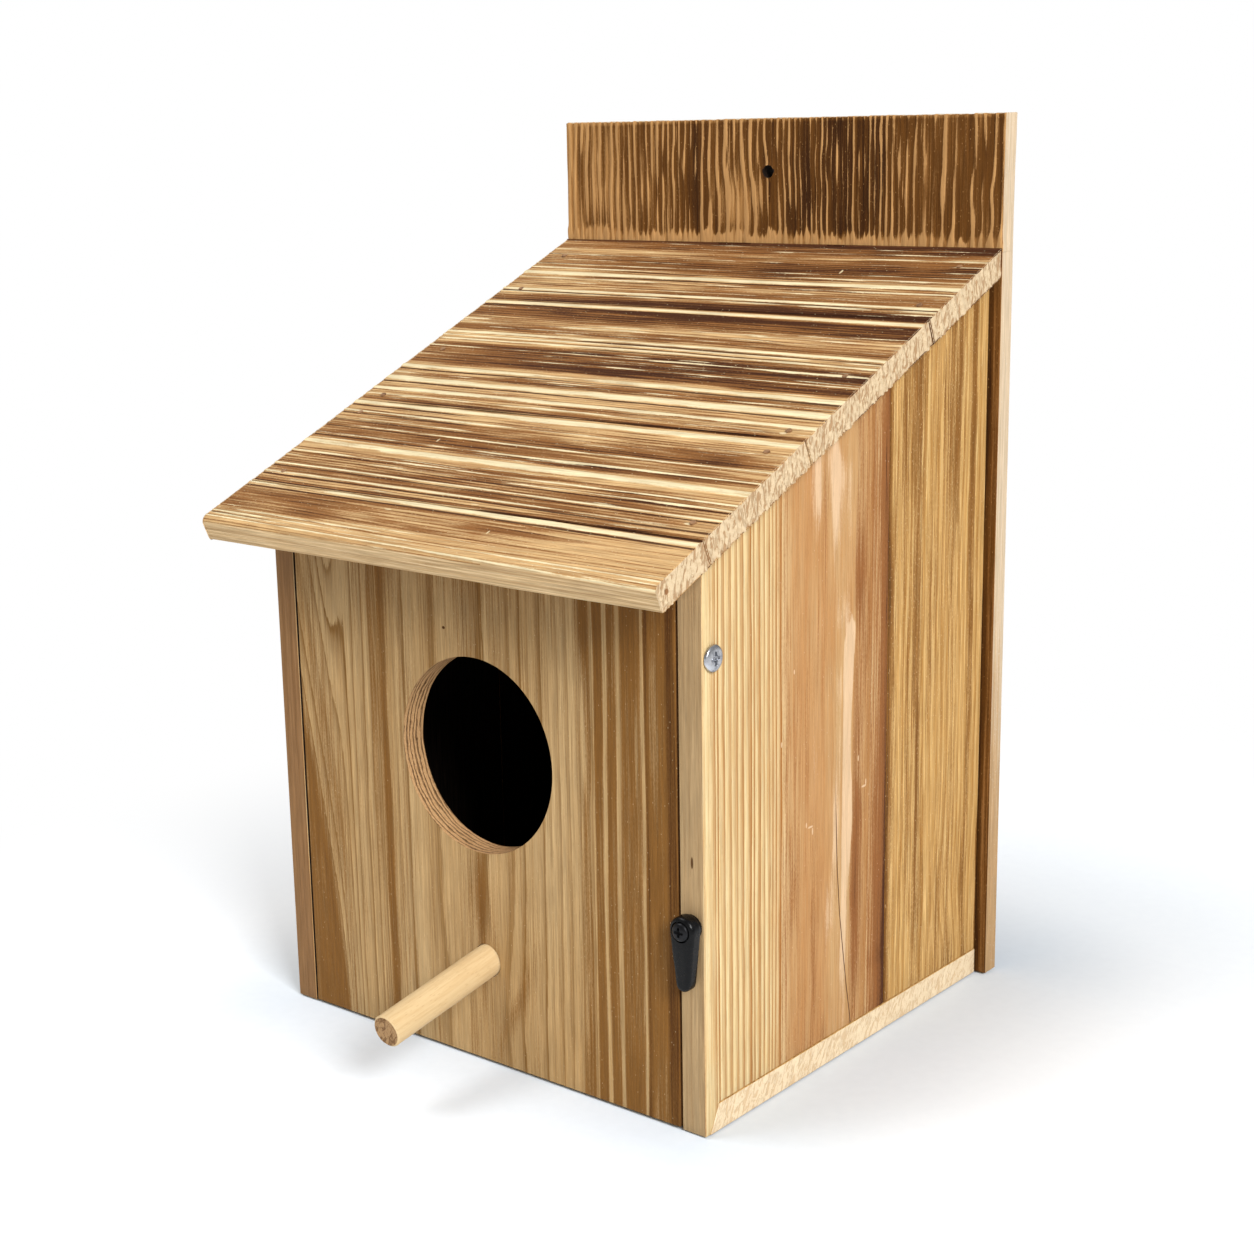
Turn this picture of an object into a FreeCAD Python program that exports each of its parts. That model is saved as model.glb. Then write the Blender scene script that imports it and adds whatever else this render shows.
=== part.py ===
import FreeCAD, Part
import Sketcher
import math
import os

from FreeCAD import Placement, Rotation, Vector

# A wooden birdhouse with a single-pitch roof, a tall backboard to hang it by, and a front door that
# swings up on two screws. Millimetres, +Z up, +X to the right as seen from the front, +Y to the back.
# The origin is the middle of the house's footprint, on the floor's underside. Depths in the sheet are
# measured back from the front plane, which the door and the side walls' front edges share, and
# heights are measured up from the floor's underside.

DIMENSIONS = [
    ("body_width", 160.0, "over the two side walls"),
    ("body_depth", 142.0, "front plane to the backboard's face"),
    ("board_thick", 8.0, "walls, floor, roof and door"),
    ("wall_front_height", 157.0, "roof underside at the front plane"),
    ("wall_joint_depth", 88.0, "joint between a side wall's two boards"),
    ("floor_front_depth", 2.0, "floor's lower front corner"),
    ("floor_bevel_run", 4.0, "how far back the floor's front edge slants"),
    ("back_width", 168.0, "backboard and roof width"),
    ("back_thick", 7.0, "backboard"),
    ("back_height", 266.0, "backboard"),
    ("hanging_hole_diameter", 4.0, ""),
    ("hanging_hole_height", 249.5, ""),
    ("roof_slope", 23.5, "degrees from level"),
    ("roof_overhang", 21.0, "lower front corner ahead of the front plane"),
    ("eave_joint_depth", -1.0, "joint of eave and lower roof boards, on the underside"),
    ("lower_joint_depth", 43.5, "joint of lower and middle roof boards, on the underside"),
    ("upper_joint_depth", 104.5, "joint of middle and upper roof boards, on the underside"),
    ("eave_nose_radius", 2.2, "rounded upper front edge"),
    ("eave_lip_radius", 1.2, "rounded lower front edge"),
    ("door_side_gap", 0.6, "between the door and each side wall"),
    ("door_bottom_gap", 0.6, "under the door, and over the floor's bevel"),
    ("door_top_height", 155.0, ""),
    ("entrance_diameter", 57.0, ""),
    ("entrance_height", 92.3, ""),
    ("perch_diameter", 9.6, ""),
    ("perch_reach", 41.6, "along its axis ahead of the door"),
    ("perch_offset", 1.8, "right of the middle"),
    ("perch_height", 31.4, "where its axis meets the door's face"),
    ("perch_droop", 10.0, "degrees below level"),
    ("perch_chamfer", 0.5, ""),
    ("pivot_height", 131.5, ""),
    ("pivot_screw_diameter", 3.5, ""),
    ("pivot_screw_length", 25.0, "under the head"),
    ("pivot_head_diameter", 7.2, ""),
    ("pivot_head_height", 1.3, ""),
    ("pivot_hole_diameter", 3.65, "the screw turns in the side wall"),
    ("pivot_head_gap", 0.2, "between the right head and the side wall"),
    ("pivot_sink", 0.3, "from the left wall's outer face to the headless screw"),
    ("button_height", 59.3, "turn button's screw"),
    ("button_gap", 0.25, "between the boss and the wall's front edge"),
    ("button_boss_radius", 3.4, ""),
    ("button_lift", 1.5, "lever's back ahead of the front plane"),
    ("button_thick", 3.8, "lever"),
    ("button_big_radius", 4.0, "round the screw"),
    ("button_tip_radius", 2.3, ""),
    ("button_reach", 14.7, "from the screw to the tip's centre"),
    ("button_edge_radius", 1.0, "rounded outer edge"),
    ("button_bore_diameter", 3.05, "the button turns on its screw"),
    ("button_recess_radius", 2.9, "round the screw's head"),
    ("button_recess_depth", 1.0, ""),
    ("button_screw_diameter", 2.9, ""),
    ("button_screw_length", 18.5, "under the head"),
    ("button_head_diameter", 5.2, ""),
    ("button_head_height", 1.6, ""),
    ("button_head_gap", 0.2, "between the head and the recess"),
    ("brad_diameter", 1.2, ""),
    ("brad_length", 18.0, "every brad"),
    ("brad_head_diameter", 1.8, ""),
    ("brad_head_height", 0.6, ""),
    ("brad_roof_rise", 1.9, "backboard's top brads over the roof's underside"),
]

HALF_WIDTH = "dims.body_width / 2"
WALL_MIDDLE = "(dims.body_width - dims.board_thick) / 2"
FRONT = "-dims.body_depth / 2"
BACKBOARD_FACE = "dims.body_depth / 2"
BACKBOARD_REAR = "dims.body_depth / 2 + dims.back_thick"

# Depths, back from the front plane, of the brads that hold the boards together.
LOWER_ROOF_BRADS = (5, 37)
MIDDLE_ROOF_BRADS = (47, 74)
UPPER_ROOF_BRADS = (112, 134)
FLOOR_BRADS = (26, 66, 110)
WALL_BRAD_HEIGHTS = (34, 98, 162)
BACK_BRAD_OFFSETS = (-50, 0, 50)


def underside(depth):
    """Height of the roof's underside at a depth back from the front plane."""
    return f"(dims.wall_front_height + ({depth}) * tan(dims.roof_slope))"


def roof_top_point(depth):
    """Depth and height on the roof's top, square across from a point on its underside."""
    return (f"({depth}) - dims.board_thick * sin(dims.roof_slope)",
            f"{underside(depth)} + dims.board_thick * cos(dims.roof_slope)")


def make_sheet(doc):
    sheet = doc.addObject("Spreadsheet::Sheet", "dims")
    for row, (alias, value, note) in enumerate(DIMENSIONS, start=1):
        sheet.set(f"A{row}", alias)
        sheet.set(f"B{row}", str(value))
        sheet.setAlias(f"B{row}", alias)
        sheet.set(f"C{row}", note)
    doc.recompute()
    return sheet


def number(doc, expression):
    """The present value of an expression, for a sketch's first guess."""
    return float(doc.dims.evalExpression(str(expression)))


def bind_place(obj, x="0", y="0", z="0"):
    for axis, expression in zip("xyz", (x, y, z)):
        obj.setExpression(f"Placement.Base.{axis}", expression)


def new_body(doc, label):
    body = doc.addObject("PartDesign::Body", f"body_{label}")
    body.Label = label
    return body


def new_sketch(body, plane, name, offset=None):
    """A sketch on one of the body's own origin planes, moved along its normal by an expression."""
    sketch = body.newObject("Sketcher::SketchObject", f"{body.Name}_{name}")
    origin_plane = [item for item in body.Origin.OriginFeatures if item.Role == plane][0]
    sketch.AttachmentSupport = (origin_plane, [""])
    sketch.MapMode = "FlatFace"
    if offset:
        sketch.setExpression("AttachmentOffset.Base.z", offset)
    return sketch


def pin_point(sketch, geometry, point, across, up, tag):
    """Ties a point of a sketch to the sketch's origin by two expressions."""
    for kind, expression in (("DistanceX", across), ("DistanceY", up)):
        value = number(sketch.Document, expression)
        index = sketch.addConstraint(Sketcher.Constraint(kind, -1, 1, geometry, point, value))
        name = f"{tag}_{kind}"
        sketch.renameConstraint(index, name)
        sketch.setExpression(f"Constraints.{name}", str(expression))


def draw_polygon(sketch, corners):
    """A closed outline with straight sides. Each corner is a pair of expressions."""
    doc = sketch.Document
    points = [Vector(number(doc, across), number(doc, up), 0) for across, up in corners]
    count = len(points)
    for index in range(count):
        sketch.addGeometry(Part.LineSegment(points[index], points[(index + 1) % count]), False)
    for index in range(count):
        sketch.addConstraint(Sketcher.Constraint("Coincident", index, 2, (index + 1) % count, 1))
    for index, (across, up) in enumerate(corners):
        pin_point(sketch, index, 1, across, up, f"corner_{index}")


def draw_circle(sketch, across, up, radius):
    doc = sketch.Document
    centre = Vector(number(doc, across), number(doc, up), 0)
    circle = sketch.addGeometry(Part.Circle(centre, Vector(0, 0, 1), number(doc, radius)), False)
    pin_point(sketch, circle, 3, across, up, "centre")
    index = sketch.addConstraint(Sketcher.Constraint("Radius", circle, number(doc, radius)))
    sketch.renameConstraint(index, "radius")
    sketch.setExpression("Constraints.radius", radius)


def pad(body, sketch, length, side="One side", reverse=False):
    feature = body.newObject("PartDesign::Pad", f"{sketch.Name}_pad")
    feature.Profile = sketch
    feature.SideType = side
    feature.Reversed = reverse
    feature.setExpression("Length", length)
    body.Document.recompute()
    return feature


def cut_through(body, sketch):
    """Cuts a sketch right through the body, both ways."""
    before = body.Tip.Shape.Volume
    feature = body.newObject("PartDesign::Pocket", f"{sketch.Name}_pocket")
    feature.Profile = sketch
    feature.SideType = "Symmetric"
    feature.Type = "ThroughAll"
    body.Document.recompute()
    require_cut(feature, before)
    return feature


def require_cut(feature, volume_before):
    if feature.Shape.Volume > volume_before - 0.1:
        raise RuntimeError(f"{feature.Name} removes nothing")


def round_edges(body, kind, edges, size):
    """A fillet or chamfer on the tip's edges that a test picks out."""
    base = body.Tip
    names = [f"Edge{place}" for place, edge in enumerate(base.Shape.Edges, start=1) if edges(edge)]
    feature = body.newObject(f"PartDesign::{kind}", f"{body.Name}_{kind.lower()}_{len(body.Group)}")
    feature.Base = (base, names)
    feature.setExpression("Radius" if kind == "Fillet" else "Size", size)
    body.Document.recompute()
    return feature


def prism(doc, label, corners, width, left_face=None):
    """A board drawn in profile from its side, at its depth and height, and padded across the width.

    It is centred on the middle plane, or reaches to the right from the position left_face.
    """
    body = new_body(doc, label)
    sketch = new_sketch(body, "YZ_Plane", "profile")
    draw_polygon(sketch, corners)
    if left_face is None:
        pad(body, sketch, width, side="Symmetric")
        bind_place(body, y=FRONT)
    else:
        pad(body, sketch, width)
        bind_place(body, x=left_face, y=FRONT)
    return body


def drilled(doc, label, board, fasteners):
    """The board with the room that its fasteners fill cut out of it."""
    board.Label = f"{label}_blank"
    result = board
    for step, fastener in enumerate(fasteners):
        cut = doc.addObject("Part::Cut", f"{label}_cut_{step}")
        cut.Base = result
        cut.Tool = fastener
        doc.recompute()
        require_cut(cut, result.Shape.Volume)
        result = cut
    result.Label = label
    return result


# Fasteners

def brad(doc, name, x, y, z, turn):
    """One brad with its head at a point. It points up, turned about X by an angle."""
    pieces = []
    for part, radius, height in (("shank", "dims.brad_diameter / 2", "dims.brad_length"),
                                 ("head", "dims.brad_head_diameter / 2", "dims.brad_head_height")):
        piece = doc.addObject("Part::Cylinder", f"{name}_{part}")
        piece.Placement = Placement(Vector(), Rotation(Vector(1, 0, 0), 90))
        piece.setExpression("Radius", radius)
        piece.setExpression("Height", height)
        piece.setExpression("Placement.Rotation.Angle", turn)
        bind_place(piece, x, y, z)
        pieces.append(piece)
    whole = doc.addObject("Part::Fuse", name)
    whole.Base, whole.Tool = pieces
    return whole


def group(doc, label, members):
    compound = doc.addObject("Part::Compound", label)
    compound.Links = members
    doc.recompute()
    return compound


def roof_brads(doc, label, depths):
    """Two rows of brads, square down through the roof into both side walls."""
    members = []
    for side, sign in (("left", "-"), ("right", "")):
        for depth in depths:
            top_depth, top_height = roof_top_point(depth)
            members.append(brad(doc, f"{label}_{side}_{depth}", f"{sign}{WALL_MIDDLE}",
                                f"{top_depth} + ({FRONT})", top_height, "180 + dims.roof_slope"))
    return group(doc, label, members)


def floor_brads(doc, label):
    members = []
    for side, sign in (("left", "-"), ("right", "")):
        for depth in FLOOR_BRADS:
            members.append(brad(doc, f"{label}_{side}_{depth}", f"{sign}{WALL_MIDDLE}",
                                f"{depth} + ({FRONT})", "0", "0"))
    return group(doc, label, members)


def back_brads(doc, label, places):
    """Brads level through the backboard from behind. Each place is a pair of expressions, X and Z."""
    members = [brad(doc, f"{label}_{index}", x, BACKBOARD_REAR, z, "90")
               for index, (x, z) in enumerate(places)]
    return group(doc, label, members)


def screw(doc, label, prefix, place, turn):
    """A pointed screw with a low domed head. Its origin is under the head, on its axis.

    The sheet's cells that start with prefix give its sizes. The axis is Z before turn is applied.
    """
    shank = f"dims.{prefix}_screw_diameter / 2"
    head = f"dims.{prefix}_head_diameter / 2"
    height = f"dims.{prefix}_head_height"
    length = f"dims.{prefix}_screw_length"
    outline = [("0", f"-{length}"), (shank, f"-{length} + 1.5 * {shank}"), (shank, "0"),
               (head, "0"), (head, f"{height} * 0.4"), (f"0.8 * {head}", f"{height} * 0.85"),
               (f"0.5 * {head}", height), ("0", height)]
    return turned(doc, label, outline, place, turn)


def turned(doc, label, outline, place, turn):
    """A body turned about its own Z axis from an outline of (radius, height) corners."""
    body = new_body(doc, label)
    sketch = new_sketch(body, "XZ_Plane", "profile")
    draw_polygon(sketch, outline)
    feature = body.newObject("PartDesign::Revolution", f"{sketch.Name}_turned")
    feature.Profile = sketch
    feature.ReferenceAxis = (sketch, ["V_Axis"])
    feature.Angle = 360
    doc.recompute()
    body.Placement = Placement(Vector(), turn)
    bind_place(body, *place)
    return body


# Fixed boards

def make_backboard(doc):
    body = new_body(doc, "backboard")
    sketch = new_sketch(body, "XZ_Plane", "outline")
    left, right = "-dims.back_width / 2", "dims.back_width / 2"
    draw_polygon(sketch, [(left, "0"), (right, "0"), (right, "dims.back_height"), (left, "dims.back_height")])
    pad(body, sketch, "dims.back_thick", reverse=True)
    hole = new_sketch(body, "XZ_Plane", "hanging_hole")
    draw_circle(hole, "0", "dims.hanging_hole_height", "dims.hanging_hole_diameter / 2")
    cut_through(body, hole)
    bind_place(body, y=BACKBOARD_FACE)
    return body


def make_floor(doc):
    floor_top_front = "dims.floor_front_depth + dims.floor_bevel_run"
    corners = [("dims.floor_front_depth", "0"), ("dims.body_depth", "0"),
               ("dims.body_depth", "dims.board_thick"), (floor_top_front, "dims.board_thick")]
    return prism(doc, "floor_board", corners, "dims.body_width")


def make_front_wall_board(doc, label, left_face):
    """Stands on the floor and reaches down in front of its slanted edge, with the door's pivot hole."""
    corners = [("0", "0"), ("dims.floor_front_depth", "0"),
               ("dims.floor_front_depth + dims.floor_bevel_run", "dims.board_thick"),
               ("dims.wall_joint_depth", "dims.board_thick"),
               ("dims.wall_joint_depth", underside("dims.wall_joint_depth")),
               ("0", "dims.wall_front_height")]
    body = prism(doc, label, corners, "dims.board_thick", left_face)
    pivot = new_sketch(body, "YZ_Plane", "pivot_hole")
    draw_circle(pivot, "dims.board_thick / 2", "dims.pivot_height", "dims.pivot_hole_diameter / 2")
    cut_through(body, pivot)
    return body


def make_rear_wall_board(doc, label, left_face):
    corners = [("dims.wall_joint_depth", "dims.board_thick"), ("dims.body_depth", "dims.board_thick"),
               ("dims.body_depth", underside("dims.body_depth")),
               ("dims.wall_joint_depth", underside("dims.wall_joint_depth"))]
    return prism(doc, label, corners, "dims.board_thick", left_face)


def make_roof_board(doc, label, front_depth, rear_depth):
    """A roof board between two joints that are square to the slope."""
    corners = [(front_depth, underside(front_depth)), (rear_depth, underside(rear_depth)),
               roof_top_point(rear_depth), roof_top_point(front_depth)]
    return prism(doc, label, corners, "dims.back_width")


def make_eave_board(doc):
    """The lowest roof board, with its two front edges rounded."""
    body = make_roof_board(doc, "roof_eave_board", "-dims.roof_overhang", "dims.eave_joint_depth")
    front_edges = sorted((edge for edge in body.Tip.Shape.Edges if edge.BoundBox.XLength > 1),
                         key=lambda edge: edge.BoundBox.YMin)[:2]
    nose_height = max(edge.BoundBox.ZMin for edge in front_edges)
    lip_height = min(edge.BoundBox.ZMin for edge in front_edges)
    for height, radius in ((nose_height, "dims.eave_nose_radius"), (lip_height, "dims.eave_lip_radius")):
        round_edges(body, "Fillet",
                    lambda edge: edge.BoundBox.XLength > 1 and abs(edge.BoundBox.ZMin - height) < 0.01
                    and abs(edge.BoundBox.ZMax - height) < 0.01, radius)
    return body


def make_upper_roof_board(doc):
    """The highest roof board. Its rear edge is upright, against the backboard."""
    front = "dims.upper_joint_depth"
    rear = "dims.body_depth"
    rear_top = f"{underside(rear)} + dims.board_thick / cos(dims.roof_slope)"
    corners = [(front, underside(front)), (rear, underside(rear)), (rear, rear_top), roof_top_point(front)]
    return prism(doc, "roof_upper_board", corners, "dims.back_width")


# The door and what is on it

def make_door(doc):
    """Hangs between the side walls. Its lower back edge follows the floor's bevel, with a gap."""
    gap = "dims.door_bottom_gap"
    bevel_top = f"dims.floor_front_depth + dims.floor_bevel_run - {gap} / 2"
    corners = [("0", gap), (f"dims.floor_front_depth - {gap} / 2", gap),
               (bevel_top, f"dims.board_thick + {gap}"),
               ("dims.board_thick", f"dims.board_thick + {gap}"),
               ("dims.board_thick", "dims.door_top_height"), ("0", "dims.door_top_height")]
    width = "dims.body_width - 2 * dims.board_thick - 2 * dims.door_side_gap"
    body = prism(doc, "front_door", corners, width)
    entrance = new_sketch(body, "XZ_Plane", "entrance")
    draw_circle(entrance, "0", "dims.entrance_height", "dims.entrance_diameter / 2")
    cut_through(body, entrance)
    perch_hole = new_sketch(body, "XZ_Plane", "perch_hole")
    perch_hole.AttachmentOffset = Placement(Vector(), Rotation(Vector(1, 0, 0), 1))
    perch_hole.setExpression("AttachmentOffset.Base.x", "dims.perch_offset")
    perch_hole.setExpression("AttachmentOffset.Base.y", "dims.perch_height")
    perch_hole.setExpression("AttachmentOffset.Rotation.Angle", "dims.perch_droop")
    draw_circle(perch_hole, "0", "0", "dims.perch_diameter / 2")
    cut_through(body, perch_hole)
    return body


def make_perch(doc):
    """A drooping dowel through the door. Its square rear end just reaches the door's inside."""
    body = new_body(doc, "perch")
    lean = "dims.perch_diameter / 2 * sin(dims.perch_droop)"
    depth = f"(dims.board_thick - {lean}) / cos(dims.perch_droop)"
    sketch = new_sketch(body, "XZ_Plane", "section", f"-{depth}")
    draw_circle(sketch, "0", "0", "dims.perch_diameter / 2")
    pad(body, sketch, f"dims.perch_reach + {depth}")
    front = body.Tip.Shape.BoundBox.YMin
    round_edges(body, "Chamfer", lambda edge: edge.BoundBox.YMax < front + 0.01, "dims.perch_chamfer")
    body.Placement = Placement(Vector(), Rotation(Vector(1, 0, 0), 1))
    body.setExpression("Placement.Rotation.Angle", "dims.perch_droop")
    bind_place(body, "dims.perch_offset", FRONT, "dims.perch_height")
    return body


# The turn button

def draw_lever_outline(sketch):
    """Two round ends joined by their outer tangents, the small end straight down from the big one."""
    doc = sketch.Document
    big, tip, reach = (number(doc, f"dims.button_{name}") for name in ("big_radius", "tip_radius", "reach"))
    lean = math.asin((big - tip) / reach)
    right = Vector(math.cos(lean), -math.sin(lean), 0)
    left = Vector(-right.x, right.y, 0)
    tip_centre = Vector(0, -reach, 0)
    up = Vector(0, 0, 1)
    big_arc = sketch.addGeometry(
        Part.ArcOfCircle(Part.Circle(Vector(), up, big), -lean, math.pi + lean), False)
    left_side = sketch.addGeometry(Part.LineSegment(left * big, tip_centre + left * tip), False)
    tip_arc = sketch.addGeometry(
        Part.ArcOfCircle(Part.Circle(tip_centre, up, tip), math.pi + lean, 2 * math.pi - lean), False)
    right_side = sketch.addGeometry(Part.LineSegment(tip_centre + right * tip, right * big), False)
    loop = (big_arc, left_side, tip_arc, right_side)
    for index, piece in enumerate(loop):
        sketch.addConstraint(Sketcher.Constraint("Tangent", piece, 2, loop[(index + 1) % len(loop)], 1))
    sketch.addConstraint(Sketcher.Constraint("Coincident", big_arc, 3, -1, 1))
    pin_point(sketch, tip_arc, 3, "0", "-dims.button_reach", "tip")
    for arc, name in ((big_arc, "big_radius"), (tip_arc, "tip_radius")):
        index = sketch.addConstraint(Sketcher.Constraint("Radius", arc, number(doc, f"dims.button_{name}")))
        sketch.renameConstraint(index, name)
        sketch.setExpression(f"Constraints.{name}", f"dims.button_{name}")


def make_turn_button(doc):
    """A tapered lever on a round boss, with a recess for its screw's head. The tip points down."""
    body = new_body(doc, "turn_button")
    boss = new_sketch(body, "XZ_Plane", "boss", "dims.button_gap")
    draw_circle(boss, "0", "0", "dims.button_boss_radius")
    pad(body, boss, "dims.button_lift - dims.button_gap")
    lever = new_sketch(body, "XZ_Plane", "lever", "dims.button_lift")
    draw_lever_outline(lever)
    pad(body, lever, "dims.button_thick")
    face = body.Tip.Shape.BoundBox.YMin
    round_edges(body, "Fillet", lambda edge: edge.BoundBox.YMax < face + 0.01, "dims.button_edge_radius")
    bore = new_sketch(body, "XZ_Plane", "bore")
    draw_circle(bore, "0", "0", "dims.button_bore_diameter / 2")
    cut_through(body, bore)
    recess = new_sketch(body, "XZ_Plane", "recess",
                        "dims.button_lift + dims.button_thick - dims.button_recess_depth")
    draw_circle(recess, "0", "0", "dims.button_recess_radius")
    before = body.Tip.Shape.Volume
    pocket = body.newObject("PartDesign::Pocket", f"{recess.Name}_pocket")
    pocket.Profile = recess
    pocket.Type = "Length"
    pocket.Reversed = True
    pocket.setExpression("Length", "dims.button_recess_depth + 1")
    doc.recompute()
    require_cut(pocket, before)
    bind_place(body, WALL_MIDDLE, FRONT, "dims.button_height")
    return body


def make_button_screw(doc):
    under_head = "dims.button_lift + dims.button_thick - dims.button_recess_depth + dims.button_head_gap"
    place = (WALL_MIDDLE, f"{FRONT} - ({under_head})", "dims.button_height")
    return screw(doc, "turn_button_screw", "button", place, Rotation(Vector(1, 0, 0), 90))


def pivot_place(offset):
    return (offset, f"{FRONT} + dims.board_thick / 2", "dims.pivot_height")


def make_right_pivot_screw(doc):
    """Threads into the door's edge and turns in the side wall's hole, with its head outside."""
    place = pivot_place(f"{HALF_WIDTH} + dims.pivot_head_gap")
    return screw(doc, "pivot_screw_right", "pivot", place, Rotation(Vector(0, 1, 0), 90))


def make_left_pivot_screw(doc):
    """A headless screw as deep in the door as the right one, sunk just below the wall's face."""
    shank = "dims.pivot_screw_diameter / 2"
    length = "(dims.pivot_screw_length - dims.pivot_head_gap - dims.pivot_sink)"
    outline = [("0", f"-{length}"), (shank, f"-{length} + 1.5 * {shank}"), (shank, "0"), ("0", "0")]
    place = pivot_place(f"-({HALF_WIDTH} - dims.pivot_sink)")
    return turned(doc, "pivot_screw_left", outline, place, Rotation(Vector(0, 1, 0), -90))


# The whole house

def build(doc):
    make_sheet(doc)
    lower_brads = roof_brads(doc, "lower_roof_brads", LOWER_ROOF_BRADS)
    middle_brads = roof_brads(doc, "middle_roof_brads", MIDDLE_ROOF_BRADS)
    upper_brads = roof_brads(doc, "upper_roof_brads", UPPER_ROOF_BRADS)
    floor_side_brads = floor_brads(doc, "floor_brads")
    wall_places = [(f"{sign}{WALL_MIDDLE}", str(height))
                   for sign in ("-", "") for height in WALL_BRAD_HEIGHTS]
    floor_places = [(str(offset), "dims.board_thick / 2") for offset in BACK_BRAD_OFFSETS]
    roof_height = f"{underside('dims.body_depth')} + dims.brad_roof_rise"
    roof_places = [(str(offset), roof_height) for offset in BACK_BRAD_OFFSETS]
    back_wall_brads = back_brads(doc, "back_wall_brads", wall_places)
    back_floor_brads = back_brads(doc, "back_floor_brads", floor_places)
    back_roof_brads = back_brads(doc, "back_roof_brads", roof_places)
    all_roof_brads = group(doc, "roof_brads", [lower_brads, middle_brads, upper_brads])
    all_back_brads = group(doc, "backboard_brads", [back_wall_brads, back_floor_brads, back_roof_brads])

    button_screw = make_button_screw(doc)
    left_pivot = make_left_pivot_screw(doc)
    right_pivot = make_right_pivot_screw(doc)

    left_face, right_face = f"-{HALF_WIDTH}", f"{HALF_WIDTH} - dims.board_thick"
    left_front = make_front_wall_board(doc, "side_left_front_board", left_face)
    right_front = make_front_wall_board(doc, "side_right_front_board", right_face)
    left_rear = make_rear_wall_board(doc, "side_left_rear_board", left_face)
    right_rear = make_rear_wall_board(doc, "side_right_rear_board", right_face)
    eave_joint, lower_joint, upper_joint = (
        f"dims.{name}_joint_depth" for name in ("eave", "lower", "upper"))
    lower_roof = make_roof_board(doc, "roof_lower_board", eave_joint, lower_joint)
    middle_roof = make_roof_board(doc, "roof_middle_board", lower_joint, upper_joint)
    front_wall_brads = (lower_brads, middle_brads, floor_side_brads)
    rear_wall_brads = (upper_brads, floor_side_brads, back_wall_brads)
    return [
        drilled(doc, "backboard", make_backboard(doc), [all_back_brads]),
        drilled(doc, "floor_board", make_floor(doc), [floor_side_brads, back_floor_brads]),
        drilled(doc, "side_left_front_board", left_front, front_wall_brads),
        drilled(doc, "side_left_rear_board", left_rear, rear_wall_brads),
        drilled(doc, "side_right_front_board", right_front, (*front_wall_brads, button_screw)),
        drilled(doc, "side_right_rear_board", right_rear, rear_wall_brads),
        make_eave_board(doc),
        drilled(doc, "roof_lower_board", lower_roof, [lower_brads]),
        drilled(doc, "roof_middle_board", middle_roof, [middle_brads]),
        drilled(doc, "roof_upper_board", make_upper_roof_board(doc), [upper_brads, back_roof_brads]),
        drilled(doc, "front_door", make_door(doc), [left_pivot, right_pivot]),
        make_perch(doc),
        left_pivot,
        right_pivot,
        make_turn_button(doc),
        button_screw,
        all_roof_brads,
        floor_side_brads,
        all_back_brads,
    ]


def check(doc, parts):
    """Stops before anything is written if an object has failed or a shape isn't sound."""
    for obj in doc.Objects:
        if "Invalid" in obj.State or "Error" in obj.State:
            raise RuntimeError(f"{obj.Label} has failed: {obj.State}")
    for part in parts:
        if part.Shape.isNull() or not part.Shape.isValid() or part.Shape.Volume <= 0:
            raise RuntimeError(f"{part.Label} has no sound shape")


def write(parts):
    os.makedirs("parts", exist_ok=True)
    for part in parts:
        box = part.Shape.BoundBox
        part.Shape.exportStep(f"parts/{part.Label}.step")
        print(f"{part.Label:26s} solids {len(part.Shape.Solids):2d}  volume {part.Shape.Volume:10.1f}  "
              f"X {box.XMin:7.2f} {box.XMax:7.2f}  Y {box.YMin:7.2f} {box.YMax:7.2f}  "
              f"Z {box.ZMin:7.2f} {box.ZMax:7.2f}")


def main():
    doc = FreeCAD.newDocument("birdhouse")
    parts = build(doc)
    doc.recompute()
    check(doc, parts)
    write(parts)
    return parts


main()
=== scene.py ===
import itertools
import math

import bmesh
import bpy
import numpy as np
from mathutils import Matrix, Vector


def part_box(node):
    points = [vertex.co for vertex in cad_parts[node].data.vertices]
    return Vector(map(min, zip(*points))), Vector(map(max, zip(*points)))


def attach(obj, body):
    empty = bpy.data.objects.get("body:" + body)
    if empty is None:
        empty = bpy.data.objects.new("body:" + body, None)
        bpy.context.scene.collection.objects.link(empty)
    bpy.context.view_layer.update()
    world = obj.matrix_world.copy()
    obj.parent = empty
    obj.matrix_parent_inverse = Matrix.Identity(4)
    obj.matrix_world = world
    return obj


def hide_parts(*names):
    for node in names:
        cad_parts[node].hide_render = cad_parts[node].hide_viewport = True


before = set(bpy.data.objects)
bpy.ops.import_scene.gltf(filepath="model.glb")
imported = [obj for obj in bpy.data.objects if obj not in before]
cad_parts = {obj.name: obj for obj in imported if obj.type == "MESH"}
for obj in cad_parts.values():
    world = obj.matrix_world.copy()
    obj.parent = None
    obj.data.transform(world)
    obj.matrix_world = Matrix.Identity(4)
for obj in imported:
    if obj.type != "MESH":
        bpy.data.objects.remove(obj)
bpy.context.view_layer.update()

MM = 0.001
SLOPE = math.radians(23.5)      # of the roof

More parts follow.
